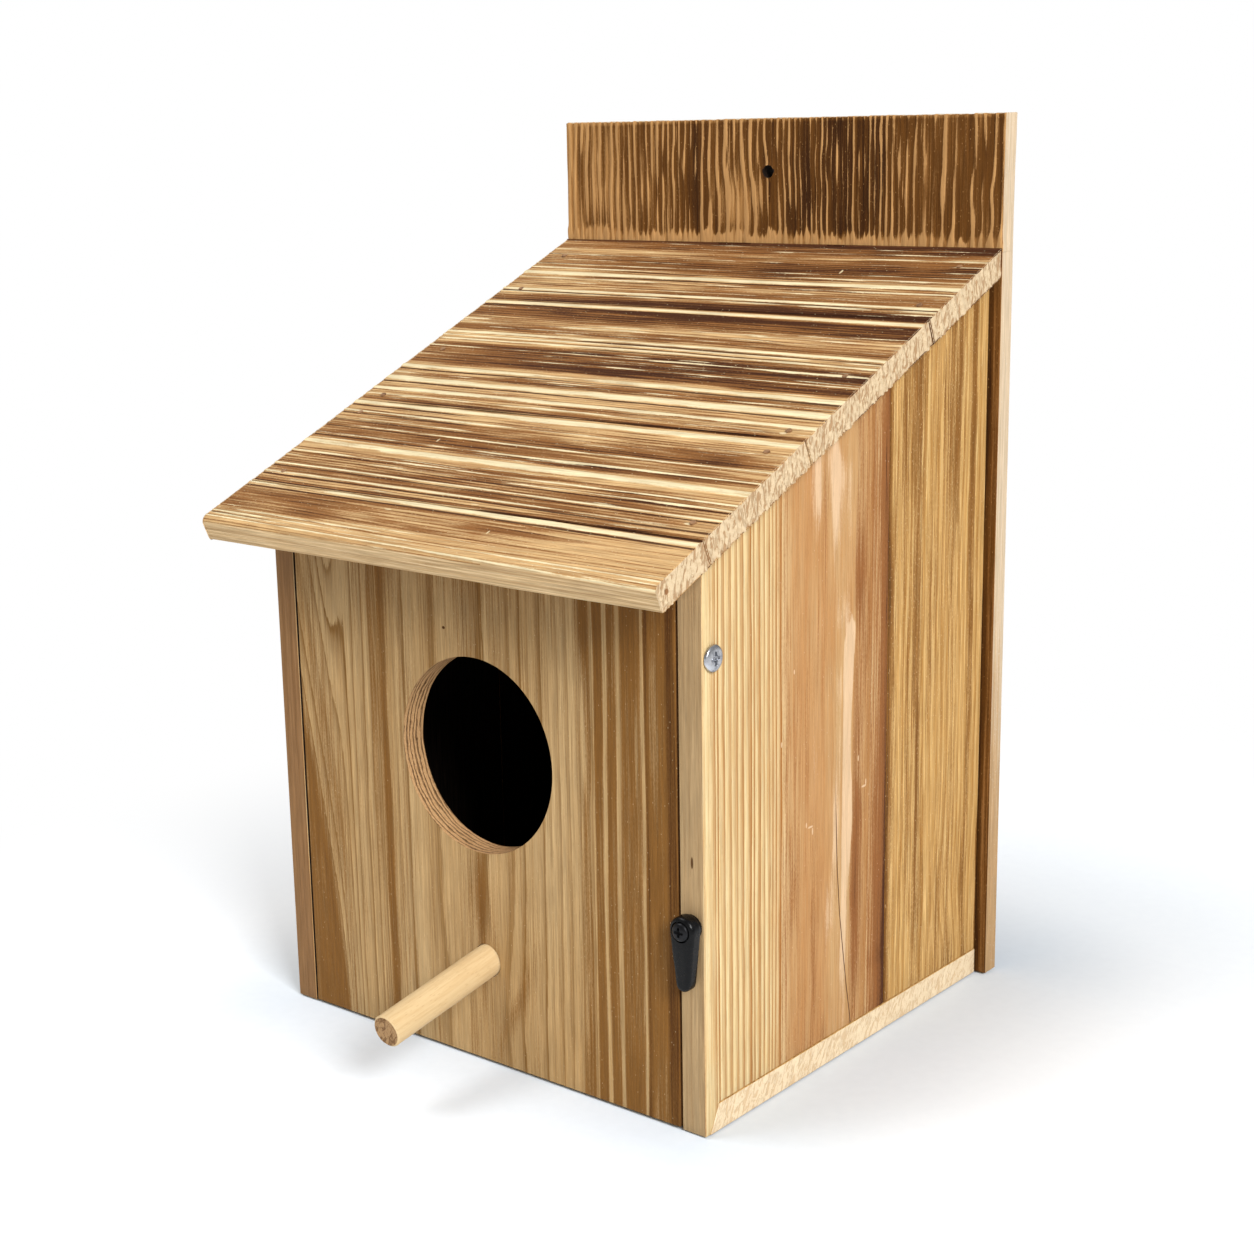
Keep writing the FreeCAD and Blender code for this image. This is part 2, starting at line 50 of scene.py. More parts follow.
# Lengths below are in mm.
EAVE_LINE = (-71.0, 157.0)      # y and z where the roof's underside meets the front plane
EASE = 0.45                     # how far the boards' edges are eased
THICK = 8                       # of the boards
WALL_FRONT, WALL_JOINT, WALL_REAR = -71, 17, 71     # y of a side wall's ends and of its joint
WALL_INNER, WALL_OUTER = 72, 80                     # distance of its faces from the middle
HALF_WIDTH = 84                 # of the roof
TOE = (-69, -65)                # y between which a side wall's foot rises to the floor board's top
DOOR_BACK = -63
ENTRANCE, ENTRANCE_RADIUS = (0, 92.3), 28.5         # centres of holes are their x and z
HANGING_HOLE, HANGING_RADIUS = (0, 249.5), 2.0
PIVOT_RADIUS = 1.825            # of its hole in the side wall
PERCH_HOLE_RADIUS = 4.98
PERCH_DROOP = math.radians(10)
PERCH_CHAMFER = 0.5
LEVER = (14.7, 4.0, 2.3)        # the turn button's length, and its radii at the pivot and the tip
NO_CRACK = 99                   # distance to the split on boards that have none

LATTICE = np.random.default_rng(7).random(4096)
RING_LUCK = np.random.default_rng(11).random(512)

# Where the proud ridges of the brushed roof boards run: place up the slope, half width, height.
ROOF_RIDGES = (
    (-21.9, 0.35, 0.8), (-20.4, 0.3, 0.6), (-18.9, 0.35, 0.8), (-17.2, 0.4, 0.65), (-15.6, 0.3, 0.5),
    (-2.5, 1.1, 0.9), (1.1, 0.3, 0.45), (4.0, 0.6, 0.9), (8.6, 0.5, 0.8), (13.2, 0.5, 0.75),
    (15.8, 0.5, 0.8), (21.3, 1.3, 1.0), (26.4, 0.6, 0.8), (31.7, 0.5, 0.7), (35.6, 0.4, 0.65),
    (39.8, 0.6, 0.8), (45.2, 1.2, 0.95), (50.8, 0.6, 0.6), (54.4, 1.0, 0.9), (60.8, 1.6, 0.95),
    (64.2, 0.4, 0.6), (68.4, 1.1, 1.0), (76.2, 0.35, 0.7), (82.0, 0.4, 0.8), (86.8, 0.6, 0.75),
    (89.0, 0.5, 0.8), (91.4, 0.8, 0.9), (95.2, 0.4, 0.5), (97.6, 0.4, 0.55), (100.2, 0.8, 0.45),
    (111.8, 0.9, 1.0), (116.2, 0.3, 0.3), (119.4, 0.4, 0.6), (121.3, 0.7, 1.0), (124.2, 0.35, 0.5),
    (126.8, 0.35, 0.5), (129.6, 0.5, 0.7), (132.9, 1.1, 1.0), (136.6, 0.45, 0.7),
    (139.3, 0.3, 0.6), (142.6, 0.3, 0.6), (146.4, 0.5, 0.55), (149.8, 0.5, 0.6), (153.0, 0.4, 0.5),
    (156.0, 0.3, 0.5),
)
# How burnt each surface is across the grain: place, burn from 0 to 1.
ROOF_TONE = (
    (-23, -.2), (-19, .15), (-17, .3), (-14, .54), (-5, .56), (-3.6, .1), (-1.3, .1), (-.9, .9), (1, .5),
    (6, .6),
    (11, .6), (18, .55), (20.5, .1), (22.5, .2), (25, .75), (30, .65), (34, .72), (38, .6), (43, .5),
    (46, .12), (47.3, .2), (47.9, .9), (49, .56), (56, .42), (59, .1), (62, .15), (64, .68), (66, .68),
    (67.5, .1), (69.8, .25), (72, .8), (84, .78), (86, .4), (92, .25), (94, .66), (99, .46), (102, .64),
    (104, .78), (110, .82), (111.3, .1), (113.2, .2), (114, 1), (117, .75), (120, .3), (123, .52),
    (131, .46), (134, .36), (138, .64), (144, .68), (150, .5), (154, .64), (158, .9),
)
# How far apart the backboard's rings are across it.
BACK_PERIOD = (
    (-84, 2.7), (-60, 2.6), (-45, 2.2), (-28, 2.3), (-22, 3.6), (-8, 3.4), (0, 2.3), (12, 2.0),
    (42, 1.9), (48, 2.6), (60, 3.4), (84, 3.1),
)
BACK_TONE = (
    (-84, .1), (-80, .34), (-60, .46), (-45, .55), (-28, .76), (-21, .64), (-5, .64), (1, .74), (12, .78),
    (22, .82), (42, .84), (48, .6), (66, .54), (84, .58),
)
# The side wall's front board: place across it, count of rings.
WALL_RINGS = (
    (-74, 0), (-70, 0.3), (-66.4, 0.55), (-65.6, 1), (-64.4, 2), (-61.6, 3), (-58.6, 4), (-55.8, 5),
    (-53.2, 6), (-49.6, 7), (-48.4, 8), (-45.8, 9), (-43.8, 10), (-41.4, 11), (-40.0, 12), (-38.4, 13),
    (-36.2, 14), (-33.6, 14.5),
    (-31, 14.6), (4, 14.65), (8, 15), (9.4, 16), (10.8, 17), (12, 18), (13.2, 19), (15, 20), (17, 21),
)
WALL_TONE = (
    (-71, -.1), (-42, 0), (-37.5, .2), (-36, .34), (-33, .22), (-28, .22), (-22, .24), (-16, .18), (-9, .08),
    (-1.5, .12), (-.8, .32), (6, .28), (9, .34), (11, .44), (13, .54), (15.5, .74), (17, 1),
)
# How warm its wood is, from 0 to 1.
WALL_WARM = ((-71, 0), (-42, .05), (-36, .5), (-30, .8), (-16, .85), (-6, .6), (4, .65), (17, .8))
# Where the ring lines of the wall's rear board and of the door run.
REAR_LINES = (14, 19, 23, 26, 29, 31.5, 33.5, 37, 41, 45, 48, 51, 54, 56, 58, 60, 62, 64.5, 67, 69.5, 74)
REAR_TONE = (
    (17, .75), (18.2, .3), (24, .2), (31, .26), (33.4, .52), (36, .22), (45, .16), (50, .28), (54, .36),
    (57, .1), (60, .08), (63, .55), (65.5, .1), (69, 0), (70.2, .1), (71, .6),
)
DOOR_LINES = (
    -76, -72.5, -69, -66, -62.5, -58, -54, -51, -48.6, -44, -41, -38, -34.6, -31, -27, -15, 4,
    14, 18, 20.5, 25, 27.5, 31, 34.5, 38.6, 43, 46, 49.5, 53, 56, 59, 62.5, 66, 69.5, 74,
)
DOOR_TONE = (
    (-72, .55), (-69, .62), (-66, .3), (-60, .38), (-52, .14), (-47, .22), (-42, .18), (-40.6, .38),
    (-39.2, .34), (-38.4, .15), (-37.2, .45), (-35.4, .52), (-34.4, .4), (-33.6, .2), (-20, .2),
    (-8, .24), (6, .24), (16, .2), (26, .14), (36, .14), (38.5, .34), (40.2, .46), (41.8, .46), (42.4, .08),
    (43, .1), (43.6, .56), (46.2, .52), (46.8, .1), (47.4, .14), (48, .56), (50.8, .5), (51.4, .06),
    (52.3, .08), (53, .5), (56, .56), (59.6, .48), (60.1, .2), (60.6, .2), (61.2, .85), (61.8, .8),
    (62.6, .52), (67.4, .5), (68.5, .85), (70.8, .82), (71.4, .7),
)
# The split in the side wall: height, place across it.
CRACK = ((9, -1.0), (20, -3.2), (30, -4.9), (45, -7.2), (60, -8.6), (80, -9.4), (112, -9.9))

# Small marks in grain coordinates: the eave's pinhole, the door's fleck, and pale scratches.
PINHOLE = (-19.0, 4.2, 84.0)
DOOR_MARKS = (((-10.8, -71, 127.9), (0.6, 1, 0.45)),)
STRIP_MARKS = (((-71, 76.1, 76.8), (1, 0.4, 1.7)),)
ROOF_MARKS = (
    ((30, 8, -34), (0.9, 1, 0.35)), ((-6, 8, -22), (0.3, 1, 1.4)), ((-10, 8, 19), (0.8, 1, 0.3)),
    ((1.5, 8, 4.5), (0.3, 1, 1.6)), ((141, 8, 38), (1.2, 1, 0.4)), ((133, 8, 63), (0.4, 1, 1.8)),
    ((81, 8, 74), (0.5, 1, 1.4)), ((50, 8, 75), (0.6, 1, 1.2)), ((5, 8, 75), (0.5, 1, 1.5)),
)
WALL_MARKS = (
    ((-22, 80, 74), (1.3, 1, 0.3)), ((-21, 80, 72.5), (0.3, 1, 1.1)), ((-24, 80, 75), (0.3, 1, 0.8)),
    ((5, 80, 79), (1.2, 1, 0.35)), ((6, 80, 80), (0.3, 1, 1.0)), ((-36, 80, 101), (0.3, 1, 0.8)),
    ((2, 80, 88), (0.3, 1, 0.9)), ((-30, 80, 120), (0.3, 1, 0.7)),
)


# ---------------------------------------------------------------- numbers and fields

def srgb(red, green, blue):
    """Linear colour of an 8-bit screen colour."""
    parts = [c / 255 for c in (red, green, blue)]
    line = [p / 12.92 if p <= 0.04045 else ((p + 0.055) / 1.055) ** 2.4 for p in parts]
    return (*line, 1.0)


def smooth_noise(points, seed):
    """Seeded value noise from -1 to 1 at an n by 3 array of points, one wave a unit."""
    cell = np.floor(points).astype(np.int64)
    part = points - cell
    part = part * part * (3 - 2 * part)
    total = np.zeros(len(points))
    for corner in itertools.product((0, 1), repeat=3):
        i, j, k = (cell + np.array(corner)).T
        weight = np.prod(np.where(np.array(corner) == 1, part, 1 - part), axis=1)
        spot = (i * 73856093) ^ (j * 19349663) ^ (k * 83492791) ^ (seed * 2654435761)
        total += weight * LATTICE[spot % len(LATTICE)]
    return total * 2 - 1


def noise(grain, sizes, seed):
    """Noise whose waves are sizes = (across, through, along) mm long."""
    return smooth_noise(grain / np.array(sizes, float), seed)


def table(values, pairs):
    """Levels at values, by straight lines between (place, level) pairs."""
    places, levels = zip(*pairs)
    return np.interp(values, places, levels)


def step(values, low, high):
    """0 up to low and 1 from high on, with a smooth rise between."""
    part = np.clip((values - low) / (high - low), 0, 1)
    return part * part * (3 - 2 * part)


def band(values, low, full, falling, high):
    """0 up to low, 1 from full to falling, 0 again from high on."""
    return step(values, low, full) * (1 - step(values, falling, high))


def patch(across, along, centre, size):
    """A soft oval spot, 1 in the middle."""
    distance = ((across - centre[0]) / size[0]) ** 2 + ((along - centre[1]) / size[1]) ** 2
    return np.exp(-distance)


# ---------------------------------------------------------------- meshes

def lines(low, high, gap, ease=EASE, extra=()):
    """Grid lines from low to high, crowded at the eased edges."""
    near = ease * np.array((0.0, 0.15, 0.35, 0.6, 0.8, 1.0))
    count = max(2, int(round((high - low - 2 * ease) / gap)) + 1)
    inner = np.linspace(low + ease, high - ease, count)
    spots = np.concatenate([low + near, inner, high - near, np.array(extra, float)])
    return np.unique(np.round(spots, 4))


def box_surface(us, vs, ws):
    """Points and quads of a closed box, with a grid on each side."""
    size = (len(us), len(vs), len(ws))
    at = np.indices(size)
    ends = np.zeros(size, bool)
    for axis in range(3):
        ends |= (at[axis] == 0) | (at[axis] == size[axis] - 1)
    index = np.full(size, -1)
    index[ends] = np.arange(ends.sum())
    i, j, k = (a[ends] for a in at)
    points = np.stack([us[i], vs[j], ws[k]], axis=1)
    quads = []
    for axis in range(3):
        for end in (0, -1):
            side = np.take(index, end, axis=axis)
            quad = np.stack([side[:-1, :-1], side[1:, :-1], side[1:, 1:], side[:-1, 1:]], axis=-1)
            quad = quad.reshape(-1, 4)
            flip = (end == 0) != (axis == 1)
            quads.append(quad[:, ::-1] if flip else quad)
    return points, np.concatenate(quads)


def round_off(out):
    """Offsets from a corner's centre, brought from a square corner onto a round one."""
    length = np.linalg.norm(out, axis=1)
    scale = np.abs(out).max(axis=1) / np.where(length > 0, length, 1)
    return out * scale[:, None]


def eased(points, low, high, ease=EASE):
    """The box's points with its edges and corners rounded."""
    inner = np.clip(points, np.array(low) + ease, np.array(high) - ease)
    return inner + round_off(points - inner)


def rounded_corner(points, corner, inward, radius):
    """One long edge of a box rounded to a radius: corner is (u, v) and inward the signs to the wood."""
    middle = np.array(corner) + np.array(inward) * radius
    out = points[:, :2] - middle
    inside = (out * np.array(inward) < 0).all(axis=1)
    rounded = points.copy()
    rounded[inside, :2] = middle + round_off(out)[inside]
    return rounded


def signed_volume(points, faces):
    a, b, c, d = (points[faces[:, i]] for i in range(4))
    return (np.einsum("ij,ij->i", a, np.cross(b, c)) + np.einsum("ij,ij->i", a, np.cross(c, d))).sum()


def in_scene(name, data):
    """A new object with that data, linked to the scene."""
    made = bpy.data.objects.new(name, data)
    bpy.context.scene.collection.objects.link(made)
    return made


def quad_mesh(name, points, faces):
    """A mesh object of quads from points in mm, with its faces turned outward."""
    if signed_volume(points, faces) < 0:
        faces = faces[:, ::-1]
    mesh = bpy.data.meshes.new(name)
    mesh.from_pydata((points * MM).tolist(), [], faces.tolist())
    mesh.update()
    return in_scene(name, mesh)


def ring_surface(rings, closed):
    """Points and quads of rings of points joined in order; closed joins the last ring to the first."""
    count = len(rings[0])
    turn = np.arange(count)
    following = (turn + 1) % count
    faces = []
    for i in range(len(rings) if closed else len(rings) - 1):
        a = i * count
        b = (i + 1) % len(rings) * count
        faces.append(np.stack([a + turn, a + following, b + following, b + turn], axis=1))
    return np.concatenate(rings), np.concatenate(faces)


def drooped(points, pivot):
    """Points turned through the perch's droop about a line across the house through pivot."""
    sin, cos = math.sin(PERCH_DROOP), math.cos(PERCH_DROOP)
    turn = np.array(((1, 0, 0), (0, cos, -sin), (0, sin, cos)))
    return (points - pivot) @ turn.T + pivot


def turned(name, profile, centre, axis, sign=1, around=128, recess=None, pivot=None):
    """A piece turned about a frame axis: profile lists (distance along the axis, radius) in mm, and
    recess lowers the points of a drive recess. With a pivot it droops about that point."""
    angles = np.linspace(0, 2 * np.pi, around, endpoint=False)
    across = other_axes(axis)
    rings = []
    for along, radius in profile:
        x = radius * np.cos(angles)
        y = radius * np.sin(angles)
        level = along + (recess(x, y, along) if recess else 0 * x)
        ring = np.zeros((around, 3))
        ring[:, axis] = centre[axis] + sign * level
        ring[:, across[0]] = centre[across[0]] + x
        ring[:, across[1]] = centre[across[1]] + y
        rings.append(ring)
    points, faces = ring_surface(rings, False)
    if pivot is not None:
        points = drooped(points, pivot)
    piece = quad_mesh(name, points, faces)
    close_ends(piece)
    return piece


def other_axes(axis):
    return [i for i in range(3) if i != axis]


def hole_cutter(radius, start, end, axis, centre, around, along, pivot=None):
    """A closed round bar to cut a hole with; centre has two numbers, on the other axes."""
    places = [start, *np.linspace(start, end, along), end]
    radii = [radius * 0.01] + [radius] * along + [radius * 0.01]
    middle = np.insert(np.array(centre, float), axis, 0.0)
    return turned("cutter", zip(places, radii), middle, axis, around=around, pivot=pivot)


def close_ends(piece):
    work = bmesh.new()
    work.from_mesh(piece.data)
    bmesh.ops.holes_fill(work, edges=[e for e in work.edges if e.is_boundary], sides=0)
    bmesh.ops.recalc_face_normals(work, faces=work.faces)
    work.to_mesh(piece.data)
    work.free()


def cut(piece, cutter):
    """Cuts cutter's shape out of piece, and removes the cutter."""
    modifier = piece.modifiers.new("cut", "BOOLEAN")
    modifier.operation = "DIFFERENCE"
    modifier.solver = "EXACT"
    modifier.object = cutter
    bpy.context.view_layer.update()
    shaped = piece.evaluated_get(bpy.context.evaluated_depsgraph_get())
    mesh = bpy.data.meshes.new_from_object(shaped)
    piece.modifiers.clear()
    piece.data = mesh
    bpy.data.objects.remove(cutter)


def read(items, name):
    """A vector of each of a mesh's items, as rows."""
    values = np.zeros(len(items) * 3, np.float32)
    items.foreach_get(name, values)
    return values.reshape(-1, 3).astype(float)


def set_positions(mesh, points):
    mesh.vertices.foreach_set("co", (points * MM).astype(np.float32).ravel())
    mesh.update()


def store(mesh, name, values):
    kind, field = ("FLOAT_VECTOR", "vector") if values.ndim == 2 else ("FLOAT", "value")
    layer = mesh.attributes.new(name, kind, "POINT")
    layer.data.foreach_set(field, values.astype(np.float32).ravel())


def shade_smooth(mesh, angle=40):
    mesh.polygons.foreach_set("use_smooth", np.ones(len(mesh.polygons), bool))
    mesh.set_sharp_from_angle(angle=math.radians(angle))
    mesh.update()


def box_mm(node):
    """A CAD node's lowest corner, highest corner and middle, in mm."""
    low, high = (np.array(corner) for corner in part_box(node))
    return low / MM, high / MM, (low + high) / 2 / MM


# ---------------------------------------------------------------- boards

# Rows are the frame directions that run across the grain, through the board and along the grain.
UPRIGHT_X = np.array(((1, 0, 0), (0, 1, 0), (0, 0, 1)), float)
UPRIGHT_Y = np.array(((0, 1, 0), (1, 0, 0), (0, 0, 1)), float)
LEVEL = np.array(((0, 1, 0), (0, 0, 1), (1, 0, 0)), float)
RISE, RUN = math.sin(SLOPE), math.cos(SLOPE)
UP_ROOF = np.array(((0, RUN, RISE), (0, -RISE, RUN), (1, 0, 0)), float)
ORIGIN = np.zeros(3)
ROOF_ORIGIN = np.array((0, *EAVE_LINE))
UNMARKED = {"ring": 0, "ridge": 0, "tone": 0, "warm": 0, "groove": 0, "crack": NO_CRACK, "dent": 0}


def board(name, node, body, axes, origin, grids, shape, fields, depth, paint, holes=()):
    """One detailed board in place of its CAD node: a gridded box in (across, through, along),
    bent to the board's outline by shape, holed, marked by fields and worn in by up to depth mm."""
    flat, faces = box_surface(*grids)
    piece = quad_mesh(name, shape(flat) @ axes + origin, faces)
    for hole in holes:
        cut(piece, hole_cutter(**hole))
    mesh = piece.data
    points = read(mesh.vertices, "co") / MM
    grain = (points - origin) @ axes.T
    marks = {**UNMARKED, **fields(grain)}
    marks = {key: np.zeros(len(points)) + value for key, value in marks.items()}
    store(mesh, "grain", grain)
    for key in ("ring", "ridge", "tone", "warm", "groove", "crack"):
        store(mesh, key, marks[key])
    normals = read(mesh.vertex_normals, "vector")
    wear = depth * (1 - marks["ridge"]) + marks["dent"]
    for hole in holes:
        away = points[:, other_axes(hole["axis"])] - hole["centre"]
        wear = wear * step(np.hypot(*away.T), hole["radius"], hole["radius"] + 1.2)
    set_positions(mesh, points - normals * np.maximum(wear, 0)[:, None])
    choose_slots(mesh, axes, *paint)
    shade_smooth(mesh)
    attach(piece, body)
    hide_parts(node)


def choose_slots(mesh, axes, materials, rules):
    """Gives each face its material: the broad faces, the long edges, the ends, then what the rules
    pick by the faces' normals and centres."""
    normals, centres = read(mesh.polygons, "normal"), read(mesh.polygons, "center") / MM
    across, through, along = np.abs(normals @ axes.T).T
    index = np.where(through > 0.4, 0, np.where(along > across, 2, 1))
    for material in materials:
        mesh.materials.append(material)
    for slot_index, rule in rules:
        index = np.where(rule(normals, centres), slot_index, index)
    mesh.polygons.foreach_set("material_index", index.astype(np.int32))


def rib_profile(ring, low):
    """Height from 0 to 1 of the ribs between one ring and the next, each with its own height."""
    number = np.floor(ring).astype(int)
    bump = (0.5 - 0.5 * np.cos(2 * np.pi * (ring - number))) ** 1.2
    return bump * (1 - low * RING_LUCK[number % len(RING_LUCK)])


def dished(ring, depth):
    """Wear that is deepest in the middle of each ring."""
    return depth * (1 - np.abs(ring % 1 - 0.5) * 2)


# ---------------------------------------------------------------- each board's marks

# Each takes grain coordinates in mm (across, through, along) and gives, at each point: ring, the
# count of growth rings; ridge, how proud it stands; tone, how burnt it is, and on the door and the
# backboard also painted shade and a painted highlight; warm, how warm; groove, a dark line; dent,
# extra wear; crack, the distance to the split.

def roof_fields(grain):
    up, through, along = grain.T
    drift = 0.016 * along + 0.5 * noise(grain, (30, 30, 90), 1) + 0.2 * noise(grain, (8, 20, 30), 2)
    across = up + drift
    ridge = groove = np.zeros(len(grain))
    for place, width, height in ROOF_RIDGES:
        away = across - place
        ridge = np.maximum(ridge, height * np.exp(-np.abs(away / width) ** 2.6))
        groove = np.maximum(groove, height * np.exp(-((away + width + 0.5) / 0.46) ** 2))
    gone = step(noise(grain, (9, 9, 70), 7), -0.1, 0.55)
    groove = groove * (1 - 0.6 * gone) * step(up, -21.4, -20.6)
    ridge = ridge * (1 - 0.45 * step(noise(grain, (2.5, 9, 60), 8), 0.0, 0.8))
    comb = across / 1.3 + 0.6 * noise(grain, (5, 9, 60), 3)
    fine = 0.5 + 0.5 * np.sin(2 * np.pi * comb)
    thin = step(noise(grain, (2.2, 9, 90), 4), -0.2, 0.8)
    thin = thin * (1 - 0.8 * step(up, -20, -17) * (1 - step(up, -4, -3))) * (1 - 0.5 * step(up, 118, 128))
    ridge = np.maximum(ridge, 0.55 * fine ** 2 * thin) + 0.22 * noise(grain, (1.3, 9, 11), 9)
    tone = 1.6 * table(across, ROOF_TONE) - 0.505 + 0.12 * noise(grain, (3, 9, 80), 5)
    tone = tone + 0.16 * noise(grain, (2.2, 9, 16), 10) - 0.4 * step(along, 20, 75) * (1 - step(up, -3, -1))
    tone = tone * (0.7 + 0.3 * step(along, -84, -40)) + 0.15 * step(along, -40, 30) * step(up, 95, 122)
    tone -= 0.3 * step(along, 62, 84) * band(up, -5, 8, 60, 80)
    tone -= 0.2 * patch(across, along, (101, 30), (3.5, 40))
    tone += 0.15 * band(up, -19, -15, -4, -2) * (1 - step(along, -50, -5))
    near = np.exp(-((along - 18) / 40) ** 2)
    joint = 0.5 * np.exp(-((across - 47.75) / 0.4) ** 2) + np.exp(-((across + 0.9) / 0.4) ** 2)
    joint += (0.45 + 0.55 * near) * np.exp(-((across - 114.4) / 0.6) ** 2)
    joint += np.exp(-((up - 158.4) / 0.9) ** 2)
    joint = np.clip(joint, 0, 1)
    return {
        "ring": comb + 0.8 * through, "ridge": np.clip(ridge, 0, 1) * (1 - joint),
        "tone": np.clip(tone, 0, 1.2), "groove": np.maximum(groove, joint), "warm": 0.2,
    }


def back_fields(grain):
    across, through, height = grain.T
    swirl = patch(across, height, (-12, 250), (12, 16))
    shift = 0.9 * noise(grain, (26, 30, 22), 11) + 0.3 * noise(grain, (7, 12, 9), 12)
    shift = shift + swirl * (0.14 * (height - 250) + 0.5 * noise(grain, (14, 9, 12), 13))
    shift += 0.65 * step(across, 40, 55) * noise(grain, (30, 30, 11), 14)
    place = across + shift
    grid = np.linspace(-100, 100, 2001)
    count = np.concatenate([[0], np.cumsum(0.1 / table(grid, BACK_PERIOD))[:-1]])
    ring = np.interp(place, grid, count)
    ridge = rib_profile(ring + 0.12 * noise(grain, (2.5, 9, 14), 19), 0.4)
    thin = 0.62 * rib_profile(ring * 2.0 + 0.45, 0.6) * step(noise(grain, (4, 9, 30), 20), -0.3, 0.6)
    ridge = np.maximum(ridge, thin) + 0.3 * noise(grain, (1.2, 9, 9), 35) - 0.15 * step(across, 44, 56)
    tone = table(across, BACK_TONE) + 0.12 * noise(grain, (7, 9, 18), 15)
    tone += 0.1 * noise(grain, (1.6, 9, 12), 36)
    tone -= 0.5 * patch(across, height, (-12, 239), (9, 9))
    ragged = 1.3 * noise(grain, (1.1, 9, 40), 16) + 0.9 * noise(grain, (5, 9, 40), 18) + 1.1 * (ridge - 0.5)
    low_band = band(height, 226, 226.4, 229.2 + ragged, 231.6 + ragged) * (through < 75)
    # low_band is the paler unburnt band; the paler top half-millimetre of the face is a painted highlight
    # along the board's top edge.
    tone = tone * (1 - 0.8 * low_band) - 0.3 * step(height, 264.8, 265.5)
    ridge = np.clip(ridge - 0.5 * (tone - 0.35), 0, 1) * (1 - 0.5 * low_band)
    ridge = np.clip(ridge + low_band * (0.5 + 0.6 * noise(grain, (0.9, 9, 7), 37)), 0, 1)
    strip = (np.abs(across) > 79.5) & (height < 222)
    beside = table(np.abs(across), ((79.5, .8), (80.9, .75), (81.6, .35), (82.6, .5), (84, .25)))
    tone = np.where(strip, beside + 0.2 * noise(grain, (1.5, 9, 45), 17), tone)
    ridge = np.where(strip, 0.15, ridge)
    warm = 0.2 + 0.5 * step(across, -5, 60)
    below = np.exp(-((across - 0.4) / 0.5) ** 2) * band(height, 236, 242, 246, 248)
    edge = np.abs(across) > 83.4
    tone = np.where(edge, 0.1 + 0.5 * (1 - step(height, 20, 150)) * (through < 78), tone)
    return {"ring": ring + 0.5 * through, "ridge": ridge, "tone": np.clip(tone, 0, 1), "warm": warm,
            "groove": 0.8 * below}


def crack_distance(across, along):
    """Distance across the grain from the split, which thins out and ends as it goes up."""
    heights, places = zip(*CRACK)
    return (across - np.interp(along, heights, places)) * (1 + 60 * step(along, 60, 112) ** 3)


def wall_fields(grain):
    across, through, height = grain.T
    wave = 0.5 * noise(grain, (18, 20, 80), 21) + 0.15 * noise(grain, (6, 9, 30), 22)
    lean = -0.012 * (height - 90) * step(across, -40, 10)
    place = across + wave + lean
    ring = table(place, WALL_RINGS)
    smooth = band(place, -36, -30, 4, 9)
    tone = table(place, WALL_TONE) + 0.05 * noise(grain, (5, 9, 40), 23)
    tone += smooth * (0.13 * noise(grain, (5, 9, 30), 25) + 0.07 * noise(grain, (3, 9, 12), 26))
    tip = 129.5 - 0.35 * (place + 1.6) ** 2
    bend = 0.5 * np.sin(height / 9.0) + 0.4 * noise(grain, (30, 30, 9), 28)
    blade = band(place, -6.8, -5.8, -1.6 + bend, -0.9 + bend) * (1 - step(height, tip - 0.8, tip + 0.8))
    second = band(place, -14.5, -9, -7.2, -6.4) * (1 - step(height, 112, 125))
    streak = np.maximum(blade, 0.6 * second) * step(height, 6, 55)
    above = band(place, -15, -9, -4, -1) * band(height, 119, 131, 170, 186)
    pale = 0.85 * streak + 0.6 * above + 0.85 * patch(place, height, (-14, 172), (5, 16))
    pale += 0.3 * patch(place, height, (-16, 40), (8, 22))
    pale += 0.5 * smooth * np.maximum(noise(grain, (5, 9, 45), 29), 0)
    pale *= (0.85 + 0.45 * noise(grain, (2.6, 9, 24), 27) * smooth)
    tone += 0.25 * patch(place, height, (2, 141), (2.6, 13))
    tone += 0.2 * patch(place, height, (1, 60), (2, 50))
    corner = step(-place + 0.9 * (27 - height) + 17, -2, 2) * (1 - step(height, 22, 26))
    tone += 0.25 * (1 - corner) * step(place, 6, 9) * (1 - step(height, 20, 30))
    warm = table(place, WALL_WARM) - 0.3 * streak
    edge = across < -70.6
    tone = np.where(edge, 0.12 + 0.1 * noise(grain, (9, 2, 30), 24), tone)
    warm = np.where(edge, 0.3, warm)
    return {
        "ring": ring + 0.3 * through, "ridge": np.clip(pale, 0, 1), "tone": np.clip(tone, 0, 1),
        "warm": np.clip(warm, 0, 1), "dent": dished(ring, 0.05), "crack": crack_distance(across, height),
    }


def rear_fields(grain):
    across, _, height = grain.T
    wave = 1.3 * noise(grain, (14, 20, 34), 31) + 0.5 * noise(grain, (5, 9, 15), 32)
    knot = patch(across, height, (44, 34), (9, 14))
    place = across + wave + knot * 3 * np.sign(across - 44)
    ring = np.interp(place, REAR_LINES, np.arange(len(REAR_LINES)))
    tone = table(place, REAR_TONE) + 0.15 * noise(grain, (2.6, 9, 60), 33)
    tone = tone - 0.15 * patch(across, height, (28, 15), (7, 10)) + 0.08 * step(height, 90, 190)
    warm = 0.12 + 0.1 * noise(grain, (12, 9, 60), 34)
    return {"ring": ring, "ridge": 1, "tone": np.clip(tone, 0, 1), "warm": warm, "dent": dished(ring, 0.05)}


